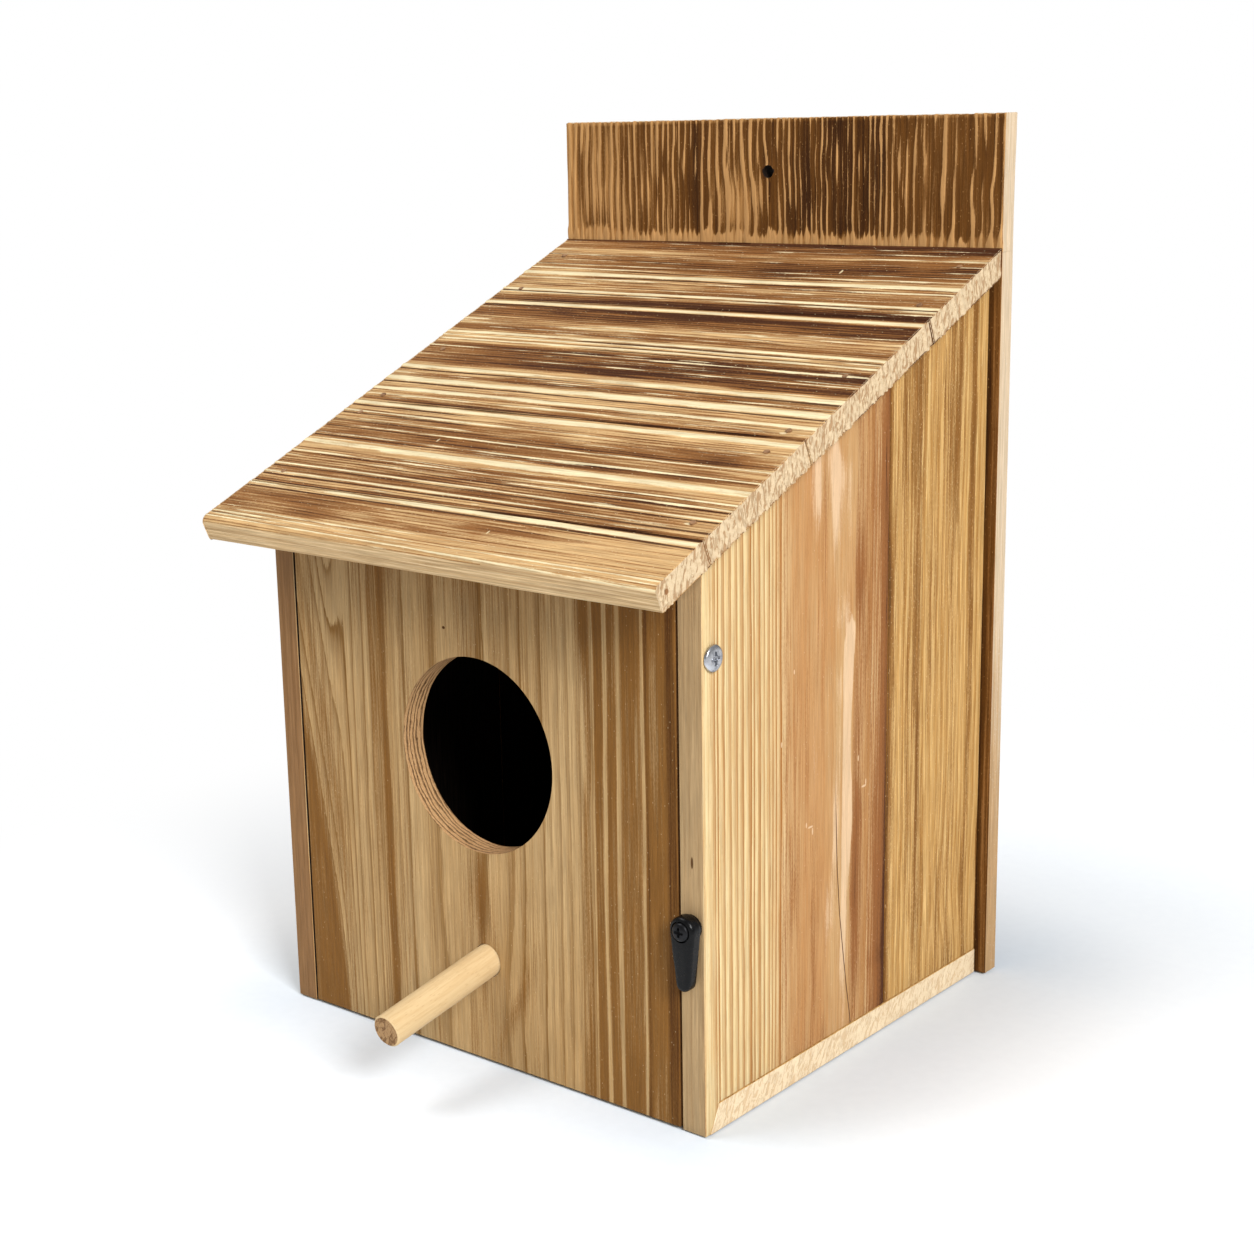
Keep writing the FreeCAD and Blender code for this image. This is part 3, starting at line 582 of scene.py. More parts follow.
def door_fields(grain):
    across, _, height = grain.T
    lean = 0.17 * (height - 78) * step(-across, 49, 60)
    wave = 0.7 * noise(grain, (16, 20, 60), 41) + 0.2 * noise(grain, (6, 9, 20), 42)
    tongue = patch(across, height, (3, 30), (14, 60)) * 6 * np.sign(across - 3)
    place = across + wave + lean + tongue * step(70 - height, 0, 60)
    ring = np.interp(place, DOOR_LINES, np.arange(len(DOOR_LINES)))
    tone = table(place, DOOR_TONE) + 0.1 * noise(grain, (4, 9, 35), 43)
    tone += 0.22 * patch(across, height, (-0.1 * (height - 50), 50), (6, 13))
    tone += 0.24 * patch(across + 0.42 * (20 - height), height, (13, 20), (3, 13))
    # Painted eave shade: the door's middle is darker across its top, above the entrance.
    tone += 0.16 * step(height, 118, 155) * (1 - step(np.abs(across), 30, 60))
    warm = 0.3 + 0.3 * noise(grain, (9, 9, 70), 44)
    return {"ring": ring, "ridge": 1, "tone": np.clip(tone, 0, 1), "warm": warm, "dent": dished(ring, 0.06)}


def floor_fields(grain):
    ring = grain[:, 0] / 4 + 0.3 * noise(grain, (12, 9, 50), 51)
    return {"ring": ring, "ridge": 1, "tone": 0.2 + 0.1 * noise(grain, (6, 9, 40), 52), "warm": 0.3}


# ---------------------------------------------------------------- materials

class Graph:
    """The nodes of a material, or of another thing bpy.data lists, with short calls that return sockets."""

    def __init__(self, name, kind="materials"):
        self.owner = getattr(bpy.data, kind).new(name)
        self.owner.use_nodes = True
        self.tree = self.owner.node_tree
        self.tree.nodes.clear()

    def node(self, kind, inputs=(), **settings):
        """A node with those settings and inputs: a list in order, or a dict by name or number."""
        made = self.tree.nodes.new(kind)
        for key, value in settings.items():
            setattr(made, key, value)
        for key, value in inputs.items() if isinstance(inputs, dict) else enumerate(inputs):
            if isinstance(value, bpy.types.NodeSocket):
                self.tree.links.new(value, made.inputs[key])
            else:
                made.inputs[key].default_value = value
        return made

    def attribute(self, name, output="Fac"):
        return self.node("ShaderNodeAttribute", attribute_name=name).outputs[output]

    def math(self, operation, a, b=0.0, clamp=False):
        return self.node("ShaderNodeMath", (a, b), operation=operation, use_clamp=clamp).outputs[0]

    def times(self, a, b, clamp=False):
        return self.math("MULTIPLY", a, b, clamp)

    def less(self, a, b):
        return self.math("SUBTRACT", a, b)

    def total(self, first, *more):
        for value in more:
            first = self.math("ADD", first, value)
        return first

    def around(self, value, share):
        """The value's distance from its usual middle, times share."""
        return self.times(self.less(value, 0.5), share)

    def vector(self, operation, *inputs):
        return self.node("ShaderNodeVectorMath", inputs, operation=operation).outputs[0]

    def length(self, vector):
        return self.node("ShaderNodeVectorMath", (vector,), operation="LENGTH").outputs["Value"]

    def box_distance(self, where, centre, half):
        """Distance outside an upright box, seen from above."""
        away = self.vector("ABSOLUTE", self.vector("ADD", where, [-c for c in centre]))
        return self.length(self.vector("MAXIMUM", self.vector("ADD", away, [-h for h in half]), (0, 0, 0)))

    def spot(self, vector, place, size):
        """1 inside a small oval of those half sizes, with a soft rim."""
        away = self.vector("ADD", vector, [-p for p in place])
        return self.range(self.length(self.vector("MULTIPLY", away, [1 / s for s in size])), 1.15, 0.75)

    def slanted(self, vector, angle):
        inputs = {"Vector": vector, "Angle": angle}
        return self.node("ShaderNodeVectorRotate", inputs, rotation_type="Z_AXIS").outputs[0]

    def noise(self, vector, scale, detail=3.0, rough=0.6, distort=0.0):
        """Noise of those many waves a unit along each axis."""
        inputs = {"Vector": self.vector("MULTIPLY", vector, scale), "Scale": 1.0, "Detail": detail,
                  "Roughness": rough, "Distortion": distort}
        return self.node("ShaderNodeTexNoise", inputs).outputs["Fac"]

    def specks(self, vector, scale, size, share):
        """Small spots, 1 in each, over that share of the cells."""
        inputs = {"Vector": self.vector("MULTIPLY", vector, scale), "Scale": 1.0}
        cells = self.node("ShaderNodeTexVoronoi", inputs, feature="F1")
        near = self.range(cells.outputs["Distance"], size, size * 0.4)
        split = self.node("ShaderNodeSeparateColor", (cells.outputs["Color"],))
        return self.times(near, self.math("LESS_THAN", split.outputs[0], share))

    def luck(self, value):
        return self.node("ShaderNodeTexWhiteNoise", {"W": value}, noise_dimensions="1D").outputs["Value"]

    def range(self, value, low, high, out_low=0.0, out_high=1.0):
        inputs = {"Value": value, "From Min": low, "From Max": high, "To Min": out_low, "To Max": out_high}
        return self.node("ShaderNodeMapRange", inputs, interpolation_type="SMOOTHSTEP").outputs["Result"]

    def mix(self, factor, a, b, blend="MIX"):
        inputs = {0: factor, 6: a, 7: b}
        return self.node("ShaderNodeMix", inputs, data_type="RGBA", blend_type=blend).outputs[2]

    def over(self, body, colour, mask, share):
        """The body under a colour, as strong as the mask times share."""
        return self.mix(self.times(mask, share), body, colour)

    def ramp(self, value, stops):
        made = self.node("ShaderNodeValToRGB", (value,))
        bar = made.color_ramp
        while len(bar.elements) < len(stops):
            bar.elements.new(0.5)
        for element, (place, level) in zip(bar.elements, stops):
            element.position = place
            element.color = (level, level, level, 1)
        return made.outputs[0]

    def bump(self, height, strength, distance):
        inputs = {"Strength": strength, "Distance": distance, "Height": height}
        return self.node("ShaderNodeBump", inputs).outputs["Normal"]

    def shader(self, colour, rough, normal, metallic=0.0, specular=0.1):
        inputs = {"Base Color": colour, "Roughness": rough, "Normal": normal, "Metallic": metallic,
                  "Specular IOR Level": specular}
        return self.node("ShaderNodeBsdfPrincipled", inputs).outputs[0]

    def output(self, surface, kind="ShaderNodeOutputMaterial"):
        self.node(kind, (surface,))
        return self.owner


def under(light, *colours):
    """Colours as they look where the studio light is that strong, turned into the wood's own."""
    return [tuple(c / light for c in srgb(*colour)[:3]) + (1.0,) for colour in colours]


def late_wood(g, ring, wobble, start, even=0.4):
    """Share of late wood across each ring: it rises from start, and stops sharply at the ring's end.
    even is the weight of the faintest ring."""
    turn = g.total(ring, wobble)
    stops = ((0.0, 0.0), (start * 0.6, 0.06), (start, 0.5), (0.93, 1.0), (0.985, 0.9), (1.0, 0.0))
    shape = g.ramp(g.math("FRACT", turn), stops)
    return g.times(shape, g.total(g.times(g.luck(g.math("FLOOR", turn)), 1 - even), even))


def wood(name, colours, stripe=0.7, rib=0.0, fleck=0.3, wobble=0.5, start=0.55, layer=0.3, fibre=0.6,
         scorch=0.0, twist=0.0, even=0.4, patchy=0.2, shade=0.16, pale_marks=(), dark_marks=()):
    """Planed or brushed wood. The colours are the early wood, its streaks, the late wood, the warm
    tint, light and deep burn, and the rubbed crests."""
    pale, mid, late, warm, brown, char, crest = colours
    g = Graph(name)
    grain = g.attribute("grain", "Vector")
    thread = g.noise(grain, (3.4, 3.4, 0.05), 4.0, 0.6, twist)
    streak = g.noise(grain, (1.0, 1.0, 0.014), 4.0, 0.6, twist)
    strata = g.noise(grain, (0.3, 0.3, 0.006), 3.0, 0.6, twist)
    grit = g.noise(grain, (8.0, 8.0, 0.9), 3.0, 0.65)
    blot = g.noise(grain, (0.9, 0.9, 0.08), 4.0, 0.6, 0.3)
    veil = g.noise(grain, (2.0, 2.0, 0.05), 4.0, 0.7)
    cloud = g.noise(grain, (0.14, 0.14, 0.02), 3.0, 0.55, 0.4)
    share = late_wood(g, g.attribute("ring"), g.around(thread, wobble), start, even)
    body = g.over(pale, mid, g.range(thread, 0.4, 0.6), fibre)
    body = g.over(body, late, g.range(streak, 0.47, 0.58), layer)
    body = g.over(body, warm, g.attribute("warm"), g.range(cloud, 0.3, 0.7, 0.7, 1.0))
    body = g.mix(g.times(share, stripe, True), body, late)
    burn = g.total(g.attribute("tone"), g.around(thread, 1.1 * fibre), g.around(grit, 0.9 * fibre),
                   g.around(streak, 1.6 * layer), g.around(strata, 1.4 * layer),
                   g.times(share, scorch), g.around(blot, patchy))
    body = g.mix(g.range(burn, 0.18, 0.55), body, brown)
    body = g.mix(g.range(burn, 0.6, 1.0), body, char)
    rubbed = g.total(g.attribute("ridge"), g.around(thread, 0.9), g.around(grit, 0.5),
                     g.around(blot, patchy))
    body = g.over(body, crest, g.range(rubbed, 0.4, 0.62), rib)
    groove = g.range(g.total(g.attribute("groove"), g.around(thread, 0.8)), 0.42, 0.62)
    body = g.over(body, char, groove, 0.9)
    body = g.over(body, brown, g.specks(grain, (2.6, 2.6, 0.3), 0.24, 0.3), 0.35)
    body = g.over(body, crest, g.specks(grain, (1.5, 1.5, 0.7), 0.2, fleck), 0.7)
    body = g.mix(1.0, body, g.range(veil, 0.3, 0.7, 1 - shade, 1 + 0.7 * shade), "MULTIPLY")
    body = g.mix(1.0, body, g.range(blot, 0.3, 0.7, 1 - 0.6 * shade, 1 + 0.5 * shade), "MULTIPLY")
    for place, size in pale_marks:
        body = g.over(body, crest, g.spot(grain, place, size), 0.75)
    for place, size in dark_marks:
        body = g.mix(g.spot(grain, place, size), body, char)
    split = g.range(g.math("ABSOLUTE", g.attribute("crack")), 0.26, 0.12)
    body = g.over(body, char, split, 0.95)
    relief = g.less(g.total(g.times(grit, 0.5), thread, g.times(share, 0.25 * stripe)), g.times(split, 0.8))
    return g.output(g.shader(body, g.range(grit, 0.2, 0.8, 0.5, 0.74), g.bump(relief, 0.6, 0.00025)))


def end_wood(name, colours, dark=0.7, pitch=0.4, slant=0.5):
    """Sawn end grain: slanted strokes of torn fibre over the board's wavering rings."""
    pale, mid, line = colours
    g = Graph(name)
    grain = g.attribute("grain", "Vector")
    waver = g.noise(grain, (0.4, 0.4, 0.1), 3.0, 0.55, 1.0)
    strokes = g.noise(g.slanted(grain, slant), (0.85, 0.24, 0.3), 4.0, 0.6, 1.3)
    grit = g.noise(grain, (4.5, 4.5, 2.0), 3.0, 0.65)
    turn = g.total(g.times(g.attribute("ring"), pitch), g.times(waver, 1.6))
    torn = g.range(strokes, 0.5, 0.58)
    body = g.mix(g.range(grit, 0.3, 0.7), pale, mid)
    body = g.over(body, line, torn, dark)
    body = g.over(body, line, late_wood(g, turn, g.times(grit, 0.3), 0.7), 0.45 * dark)
    body = g.over(body, line, g.specks(grain, (1.2, 1.2, 0.5), 0.26, 0.25), 0.55)
    pin = g.spot(grain, PINHOLE, (0.8, 0.8, 0.8))
    body = g.mix(pin, body, (0.25, 0.12, 0.05, 1))
    relief = g.less(g.less(g.times(grit, 0.6), g.times(torn, 0.8)), pin)
    return g.output(g.shader(body, g.range(grit, 0.2, 0.8, 0.62, 0.85), g.bump(relief, 0.6, 0.0003)))


def layered_wood(name, colours):
    """The sawn wall of the entrance: the growth layers run round it, one behind the other."""
    pale, mid, line = colours
    g = Graph(name)
    grain = g.attribute("grain", "Vector")
    waver = g.noise(grain, (0.12, 0.4, 0.1))
    fine = g.noise(grain, (1.4, 4.0, 1.4), 4.0, 0.65)
    through = g.node("ShaderNodeSeparateXYZ", (grain,)).outputs[1]
    turn = g.total(g.times(through, 0.72), g.times(waver, 2.0))
    layers = g.ramp(g.math("FRACT", turn), ((0.0, 0.05), (0.5, 0.0), (0.7, 0.8), (0.86, 1.0), (0.95, 0.05)))
    share = g.times(layers, g.range(fine, 0.2, 0.6, 0.4, 0.95))
    body = g.mix(share, g.mix(g.range(fine, 0.3, 0.7), pale, mid), line)
    return g.output(g.shader(body, 0.75, g.bump(g.less(fine, share), 0.6, 0.0004)))


def dark_wood(name):
    """The inner faces and the hanging hole's bore, painted near black as the shade inside them."""
    g = Graph(name)
    grain = g.attribute("grain", "Vector")
    streak = g.noise(grain, (1.6, 1.6, 0.05), 4.0)
    scale = g.noise(grain, (0.5, 0.5, 0.2))
    body = g.mix(g.range(streak, 0.3, 0.75), srgb(18, 13, 10), srgb(44, 32, 24))
    body = g.mix(g.range(scale, 0.5, 0.8), body, srgb(24, 18, 14))
    return g.output(g.shader(body, 0.85, g.bump(streak, 0.5, 0.0003)))


def beech(name, colours):
    pale, mid, fleck = colours
    g = Graph(name)
    grain = g.attribute("grain", "Vector")
    streak = g.noise(grain, (1.6, 1.6, 0.09), 4.0, 0.62)
    fine = g.noise(grain, (6.0, 6.0, 0.6))
    body = g.mix(g.range(streak, 0.35, 0.7), pale, mid)
    body = g.over(body, fleck, g.specks(grain, (2.2, 2.2, 0.42), 0.3, 0.5), 0.35)
    normal = g.bump(g.total(streak, g.times(fine, 0.4)), 0.4, 0.0002)
    return g.output(g.shader(body, g.range(fine, 0.2, 0.8, 0.5, 0.7), normal, specular=0.15))


def metal(name, colour, worn, rough, metallic=1.0):
    g = Graph(name)
    where = g.node("ShaderNodeTexCoord").outputs["Object"]
    blotch = g.noise(where, (600, 600, 600), 2.0, 0.5)
    scratch = g.noise(where, (2500, 600, 5200), 2.0, 0.5)
    body = g.mix(g.range(blotch, 0.35, 0.7), colour, worn)
    gloss = g.range(blotch, 0.3, 0.7, rough, rough + 0.14)
    return g.output(g.shader(body, gloss, g.bump(scratch, 0.12, 0.00005), metallic, 0.5))


def plastic(name):
    g = Graph(name)
    where = g.node("ShaderNodeTexCoord").outputs["Object"]
    cloud = g.noise(where, (420, 420, 420), 3.0, 0.5)
    grit = g.noise(where, (3800, 3800, 3800), 2.0, 0.5)
    body = g.mix(g.range(cloud, 0.3, 0.7), srgb(5, 5, 6), srgb(11, 11, 12))
    normal = g.bump(g.total(g.times(cloud, 0.8), g.times(grit, 0.2)), 0.25, 0.0002)
    return g.output(g.shader(body, g.range(cloud, 0.3, 0.7, 0.2, 0.32), normal, specular=0.16))


def paper(name, near, far):
    """The studio floor: matt paper, painted darker and bluish by the house as a contact shadow whose cool
    tint also cancels the warm bounce off the walls, and glowing white from near to far metres out.
    """
    g = Graph(name)
    where = g.node("ShaderNodeTexCoord").outputs["Object"]
    grit = g.noise(where, (260, 260, 260), 3.0, 0.5)
    house_middle, house_half = (0, 0.003, 0), (0.08, 0.073, 1)
    painted_shadow_fade = g.range(g.box_distance(where, house_middle, house_half), 0.0, 0.07)
    # Painted contact shadow: darker, cool paper close to the house, fading to the pale far colour over 7 cm.
    close = g.mix(grit, srgb(210, 217, 224), srgb(216, 223, 230))
    body = g.mix(painted_shadow_fade, close, g.mix(grit, srgb(242, 246, 250), srgb(246, 250, 253)))
    matt = g.shader(body, 0.9, g.bump(grit, 0.04, 0.0002))
    out = g.range(g.length(g.vector("ADD", where, (-0.06, -0.02, 0.0))), near, far)
    lit = g.node("ShaderNodeEmission").outputs[0]
    return g.output(g.node("ShaderNodeMixShader", (out, matt, lit)).outputs[0])


# ---------------------------------------------------------------- round pieces

def cross_recess(reach, width, depth, top):
    """How far a cross-shaped drive recess lowers the head's outer face."""
    def lower(x, y, along):
        if along < top:
            return 0 * x
        arm = np.minimum(np.abs(x), np.abs(y))
        far = np.maximum(np.abs(x), np.abs(y))
        shape = (1 - step(arm, width * 0.6, width)) * (1 - step(far, reach * 0.8, reach))
        core = 1 - step(np.hypot(x, y), width * 1.2, width * 2.0)
        return -depth * np.maximum(shape * (1 - 0.45 * far / reach), core)
    return lower


def pan_head(radius, height, shank, length, dense=46):
    """Profile of a pan-head screw, from the shank's tip to the middle of the head's outer face."""
    tip = [(-length, 0.05), (-length + 1.6, shank * 0.7), (-length + 3.2, shank), (0.0, shank)]
    seat = [(0.0, shank + 0.02), (0.0, radius - 0.12), (0.06, radius - 0.02)]
    edge = [(0.3 * height * share + 0.08, radius) for share in (0.0, 0.125, 0.25)]
    spread = np.linspace(1, 0.012, dense)
    dome = [(height * (0.38 + 0.62 * math.sqrt(max(0.0, 1 - s ** 3.2))), radius * s) for s in spread]
    return tip + seat + edge + dome


def headless(radius, length, socket):
    """Profile of a screw without a head, from its tip to the middle of its flat outer end, whose
    radius is socket."""
    shank = [(-length, 0.05), (-length + 2.6, radius), (-0.25, radius)]
    return shank + [(0.0, socket * r) for r in np.linspace(1, 0.012, 30)]


def dress(piece, material, body, node, angle=35):
    piece.data.materials.append(material)
    shade_smooth(piece.data, angle)
    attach(piece, body)
    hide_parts(node)


def make_screws(zinc, black):
    head = 1.3
    _, high, middle = box_mm("pivot_screw_right")
    profile = pan_head(radius=3.6, height=head, shank=1.75, length=25.0)
    recess = cross_recess(reach=1.95, width=0.56, depth=1.3, top=0.6)
    piece = turned("pivot_screw_right_pan_head", profile, (high[0] - head, *middle[1:]), 0, 1, 160, recess)
    dress(piece, zinc, "door", "pivot_screw_right")
    low, high, middle = box_mm("pivot_screw_left")
    profile = headless(radius=1.75, length=high[0] - low[0], socket=1.5)
    recess = cross_recess(reach=1.15, width=0.3, depth=0.9, top=-0.1)
    piece = turned("pivot_screw_left_headless", profile, (low[0], *middle[1:]), 0, -1, 120, recess)
    dress(piece, zinc, "door", "pivot_screw_left")
    head = 1.6
    low, _, middle = box_mm("turn_button_screw")
    centre = (middle[0], low[1] + head, middle[2])
    profile = pan_head(radius=2.6, height=head, shank=1.45, length=18.5, dense=36)
    recess = cross_recess(reach=1.5, width=0.4, depth=0.9, top=0.9)
    piece = turned("turn_button_screw_pan_head", profile, centre, 1, -1, 120, recess)
    dress(piece, black, "house", "turn_button_screw")


def button_depth(x, z):
    """How far inside the lever's outline a point is, in mm from the pivot, with the tip straight
    down. The outline joins two circles."""
    length, big, small = LEVER
    lean = (big - small) / length
    side = math.sqrt(1 - lean * lean)
    wide = np.abs(x)
    down = -z
    flank = big - (wide * side + down * lean)
    round_big = big - np.hypot(x, z)
    round_tip = small - np.hypot(x, z + length)
    spot = down * side - wide * lean
    return np.where(spot < 0, round_big, np.where(spot > length * side, round_tip, flank))


def button_outline(directions):
    """Distance from the pivot to the lever's outline along each direction."""
    reach = np.linspace(0, 20, 2001)
    inside = button_depth(np.cos(directions)[:, None] * reach, np.sin(directions)[:, None] * reach) > 0
    last = inside.shape[1] - 1 - inside[:, ::-1].argmax(axis=1)
    return reach[last]


def make_button(material):
    low, high, middle = box_mm("turn_button")
    back, front = high[1], low[1]
    under_side = back - 1.25
    pivot = high[2] - LEVER[1]
    fillet, bore, seat, collar, foot = 1.25, 1.525, 2.82, 2.95, 3.45
    directions = np.linspace(0, 2 * np.pi, 200, endpoint=False)
    outline = button_outline(directions)
    cos, sin = np.cos(directions), np.sin(directions)

    def ring(radius, level):
        return np.stack([middle[0] + radius * cos, level + 0 * cos, pivot + radius * sin], axis=1)

    def top_level(x, z):
        inside = np.clip(button_depth(x, z), 0, fillet)
        drop = fillet - np.sqrt(np.maximum(fillet ** 2 - (fillet - inside) ** 2, 0))
        crown = 0.28 * step(-z, 4.5, 13.5) + 0.12 * step(np.abs(x), 0.8, 2.6)
        return front + drop + crown

    rings = [ring(bore, back), ring(bore, front + 1.0), ring(seat, front + 1.0), ring(2.88, front + 0.3)]
    for share in 1 - np.linspace(1, 0, 34) ** 1.4:
        radius = collar + (outline - collar) * share
        rings.append(ring(radius, top_level(radius * cos, radius * sin)))
    for level in np.linspace(front + fillet + 0.45, under_side - 0.3, 4):
        rings.append(ring(outline, level))
    rings += [ring(outline - 0.1, under_side - 0.06), ring(outline - 0.35, under_side)]
    rings += [ring(foot, under_side), ring(foot - 0.05, under_side), ring(foot - 0.05, back)]
    piece = quad_mesh("turn_button_lever", *ring_surface(rings, True))
    dress(piece, material, "button", "turn_button", 50)


def perch_axis():
    """The dowel's radius and the middles of its front and rear ends, found from its box and droop."""
    low, high, middle = box_mm("perch")
    radius = (high[0] - low[0]) / 2
    sin, cos = math.sin(PERCH_DROOP), math.cos(PERCH_DROOP)
    front_y = low[1] + (radius - PERCH_CHAMFER) * sin
    front_z = low[2] + radius * cos - PERCH_CHAMFER * sin
    front = np.array((middle[0], front_y, front_z))
    rear = np.array((middle[0], high[1] - radius * sin, high[2] - radius * cos))
    return radius, front, rear


def make_perch(side, end):
    radius, front, rear = perch_axis()
    back = np.linalg.norm(rear - front)
    profile = [(0.0, r) for r in np.linspace(0.05, radius - PERCH_CHAMFER, 14)]
    profile += [(d, radius - PERCH_CHAMFER + d) for d in (0.12, 0.25, 0.38, 0.5)]
    profile += [(y, radius) for y in np.linspace(0.8, back - 0.3, 40)]
    profile += [(back, radius - 0.2), (back, 0.05)]
    piece = turned("perch_dowel", profile, ORIGIN, 1, 1, 120)
    mesh = piece.data
    points = read(mesh.vertices, "co") / MM
    grain = points[:, (0, 2, 1)]
    store(mesh, "grain", grain)
    store(mesh, "ring", grain[:, 0] * 0.75 + grain[:, 1] * 0.5)
    worn = 0.05 + 0.05 * noise(grain, (1.2, 1.2, 12), 61) + 0.03 * noise(grain, (0.6, 0.6, 3), 62)
    points = points - read(mesh.vertex_normals, "vector") * np.maximum(worn, 0)[:, None]
    set_positions(mesh, drooped(points, ORIGIN) + front)
    mesh.materials.append(side)
    facing = np.abs(read(mesh.polygons, "normal")[:, 1]) > 0.9
    mesh.polygons.foreach_set("material_index", facing.astype(np.int32))
    dress(piece, end, "door", "perch", 40)


# ---------------------------------------------------------------- the house

def palettes():
    """All the wood finishes by name."""
    roof = under(1.47, (244, 206, 148), (222, 178, 118), (180, 130, 76), (210, 156, 104), (154, 102, 54),
                 (76, 40, 18), (255, 236, 190))
    back = under(1.15, (180, 134, 80), (156, 109, 57), (130, 86, 40), (132, 86, 40), (98, 60, 19),
                 (56, 29, 5), (188, 142, 89))
    wall = under(1.46, (255, 233, 180), (252, 214, 150), (174, 106, 26), (214, 154, 98), (160, 102, 54),
                 (84, 46, 22), (250, 214, 174))
    rear = under(1.49, (252, 210, 142), (226, 176, 102), (184, 130, 60), (214, 154, 86), (150, 100, 44),
                 (90, 55, 20), (254, 222, 166))
    door = under(1.36, (218, 184, 133), (200, 163, 112), (139, 96, 41), (190, 144, 84), (141, 96, 43),
                 (91, 53, 15), (226, 198, 150))
    left = under(1.2, (158, 120, 80), (144, 106, 66), (122, 84, 46), (150, 108, 70), (116, 78, 42),
                 (84, 52, 26), (178, 140, 98))
    edge = under(1.6, (250, 231, 202), (244, 221, 188), (230, 193, 144), (242, 214, 178), (214, 172, 122),
                 (150, 106, 64), (255, 246, 232))
    strip = under(1.2, (192, 164, 122), (180, 150, 108), (158, 126, 84), (176, 140, 98), (140, 104, 66),
                  (92, 62, 34), (206, 180, 140))
    nose = under(1.1, (246, 218, 172), (212, 180, 132), (160, 120, 72), (200, 160, 112), (150, 106, 66),
                 (96, 58, 34), (236, 210, 168))
    end = under(1.5, (250, 228, 192), (236, 206, 162), (178, 130, 82))
    low_end = under(1.22, (250, 230, 196), (242, 216, 176), (208, 166, 118))
    ring = under(1.08, (212, 170, 122), (182, 138, 92), (64, 38, 20))
    return {
        "roof": wood("roof_brushed", roof, stripe=0.5, rib=1.0, fleck=0.25, layer=0.5, fibre=0.7,
                     scorch=0.65, start=0.72, even=0.2, patchy=0.6, shade=0.2, pale_marks=ROOF_MARKS),
        "back": wood("back_brushed", back, stripe=0.3, rib=1.0, fleck=0.35, layer=0.35, fibre=0.7,
                     wobble=0.8, patchy=0.32, shade=0.2),
        "wall": wood("wall_planed", wall, stripe=1.0, fleck=0.06, wobble=0.35, start=0.58, layer=0.32,
                     fibre=0.75, even=0.6, rib=0.75, patchy=0.3, shade=0.1, pale_marks=WALL_MARKS),
        "rear": wood("rear_planed", rear, stripe=0.85, fleck=0.6, layer=0.45, wobble=0.7, twist=0.3,
                     fibre=0.9, patchy=0.3, shade=0.18),
        "door": wood("door_planed", door, stripe=1.0, fleck=0.15, start=0.8, wobble=0.35, layer=0.2,
                     fibre=0.5, even=0.35, patchy=0.15, dark_marks=DOOR_MARKS),
        "left": wood("left_edge", left, stripe=0.5, fleck=0.15, layer=0.4),
        "cream": wood("cream_edge", edge, stripe=0.35, fleck=0.1),
        "strip": wood("strip_edge", strip, stripe=0.3, fleck=0.4, dark_marks=STRIP_MARKS),
        "nose": wood("nose_edge", nose, stripe=0.6, fleck=0.1, layer=0.35, fibre=0.9),
        "end": end_wood("end_grain", end),
        "low_end": end_wood("floor_end_grain", low_end, dark=0.5),
        "entrance": layered_wood("entrance_wall", ring),
        # inner: near-black painted shade for the faces inside the box and the hanging hole's bore.
        "inner": dark_wood("inside_painted_shade"),
    }


def coats(finish, names, *rules):
    """The named finishes in slot order, and the rules that pick slots: see choose_slots."""
    return [finish[name] for name in names.split()], rules


def roof_paint(finish):
    def inside(n, c):
        return (n @ UP_ROOF[1] < -0.8) & (np.abs(c[:, 0]) < WALL_INNER) & (c[:, 1] > DOOR_BACK)
    return coats(finish, "roof nose end inner", (3, inside))


def roof_board(node, low, high, finish, rear=0.0):
    """A straight roof board from low to high up the slope; rear leans its upper end upright."""
    def shape(flat):
        soft = eased(flat, (low, 0, -HALF_WIDTH), (high, THICK, HALF_WIDTH), 0.12)
        share = np.clip((soft[:, 0] - low) / (high - low), 0, 1)
        soft[:, 0] += rear * share ** 4 * soft[:, 1]
        return soft
    grids = (lines(low, high, 0.27, 0.12), lines(0, THICK, 1.5, 0.12),
             lines(-HALF_WIDTH, HALF_WIDTH, 3.2, 0.12))
    board(f"{node}_brushed", node, "house", UP_ROOF, ROOF_ORIGIN, grids, shape, roof_fields,
          0.42, roof_paint(finish))


def make_roof(finish):
    cos, tan = math.cos(SLOPE), math.tan(SLOPE)
    front, eave, first, second, rear = -21 / cos, -1.09, 47.43, 113.95, 142 / cos
    roof_board("roof_lower_board", eave, first, finish)
    roof_board("roof_middle_board", first, second, finish)
    roof_board("roof_upper_board", second, rear, finish, tan)

    def eave_shape(flat):
        soft = rounded_corner(flat, (front, THICK), (1, -1), 2.2)
        soft = rounded_corner(soft, (front, 0), (1, 1), 1.2)
        soft = rounded_corner(soft, (eave, THICK), (-1, -1), 0.5)
        return rounded_corner(soft, (eave, 0), (-1, 1), 0.3)
    rounding = np.arange(0, 2.3, 0.2)
    us = np.unique(np.round(np.concatenate([lines(front, eave, 0.33), front + rounding]), 4))
    vs = np.unique(np.round(np.concatenate([lines(0, THICK, 0.9), THICK - rounding]), 4))
    board("roof_eave_board_brushed", "roof_eave_board", "house", UP_ROOF, ROOF_ORIGIN,
          (us, vs, lines(-HALF_WIDTH, HALF_WIDTH, 2.6)), eave_shape, roof_fields, 0.3, roof_paint(finish))


def wall_top(y):
    return EAVE_LINE[1] + (y - EAVE_LINE[0]) * math.tan(SLOPE)


def toe(y):
    """Height of the side wall's foot, whose front end reaches down past the floor board."""
    return np.interp(y, TOE, (0, THICK))


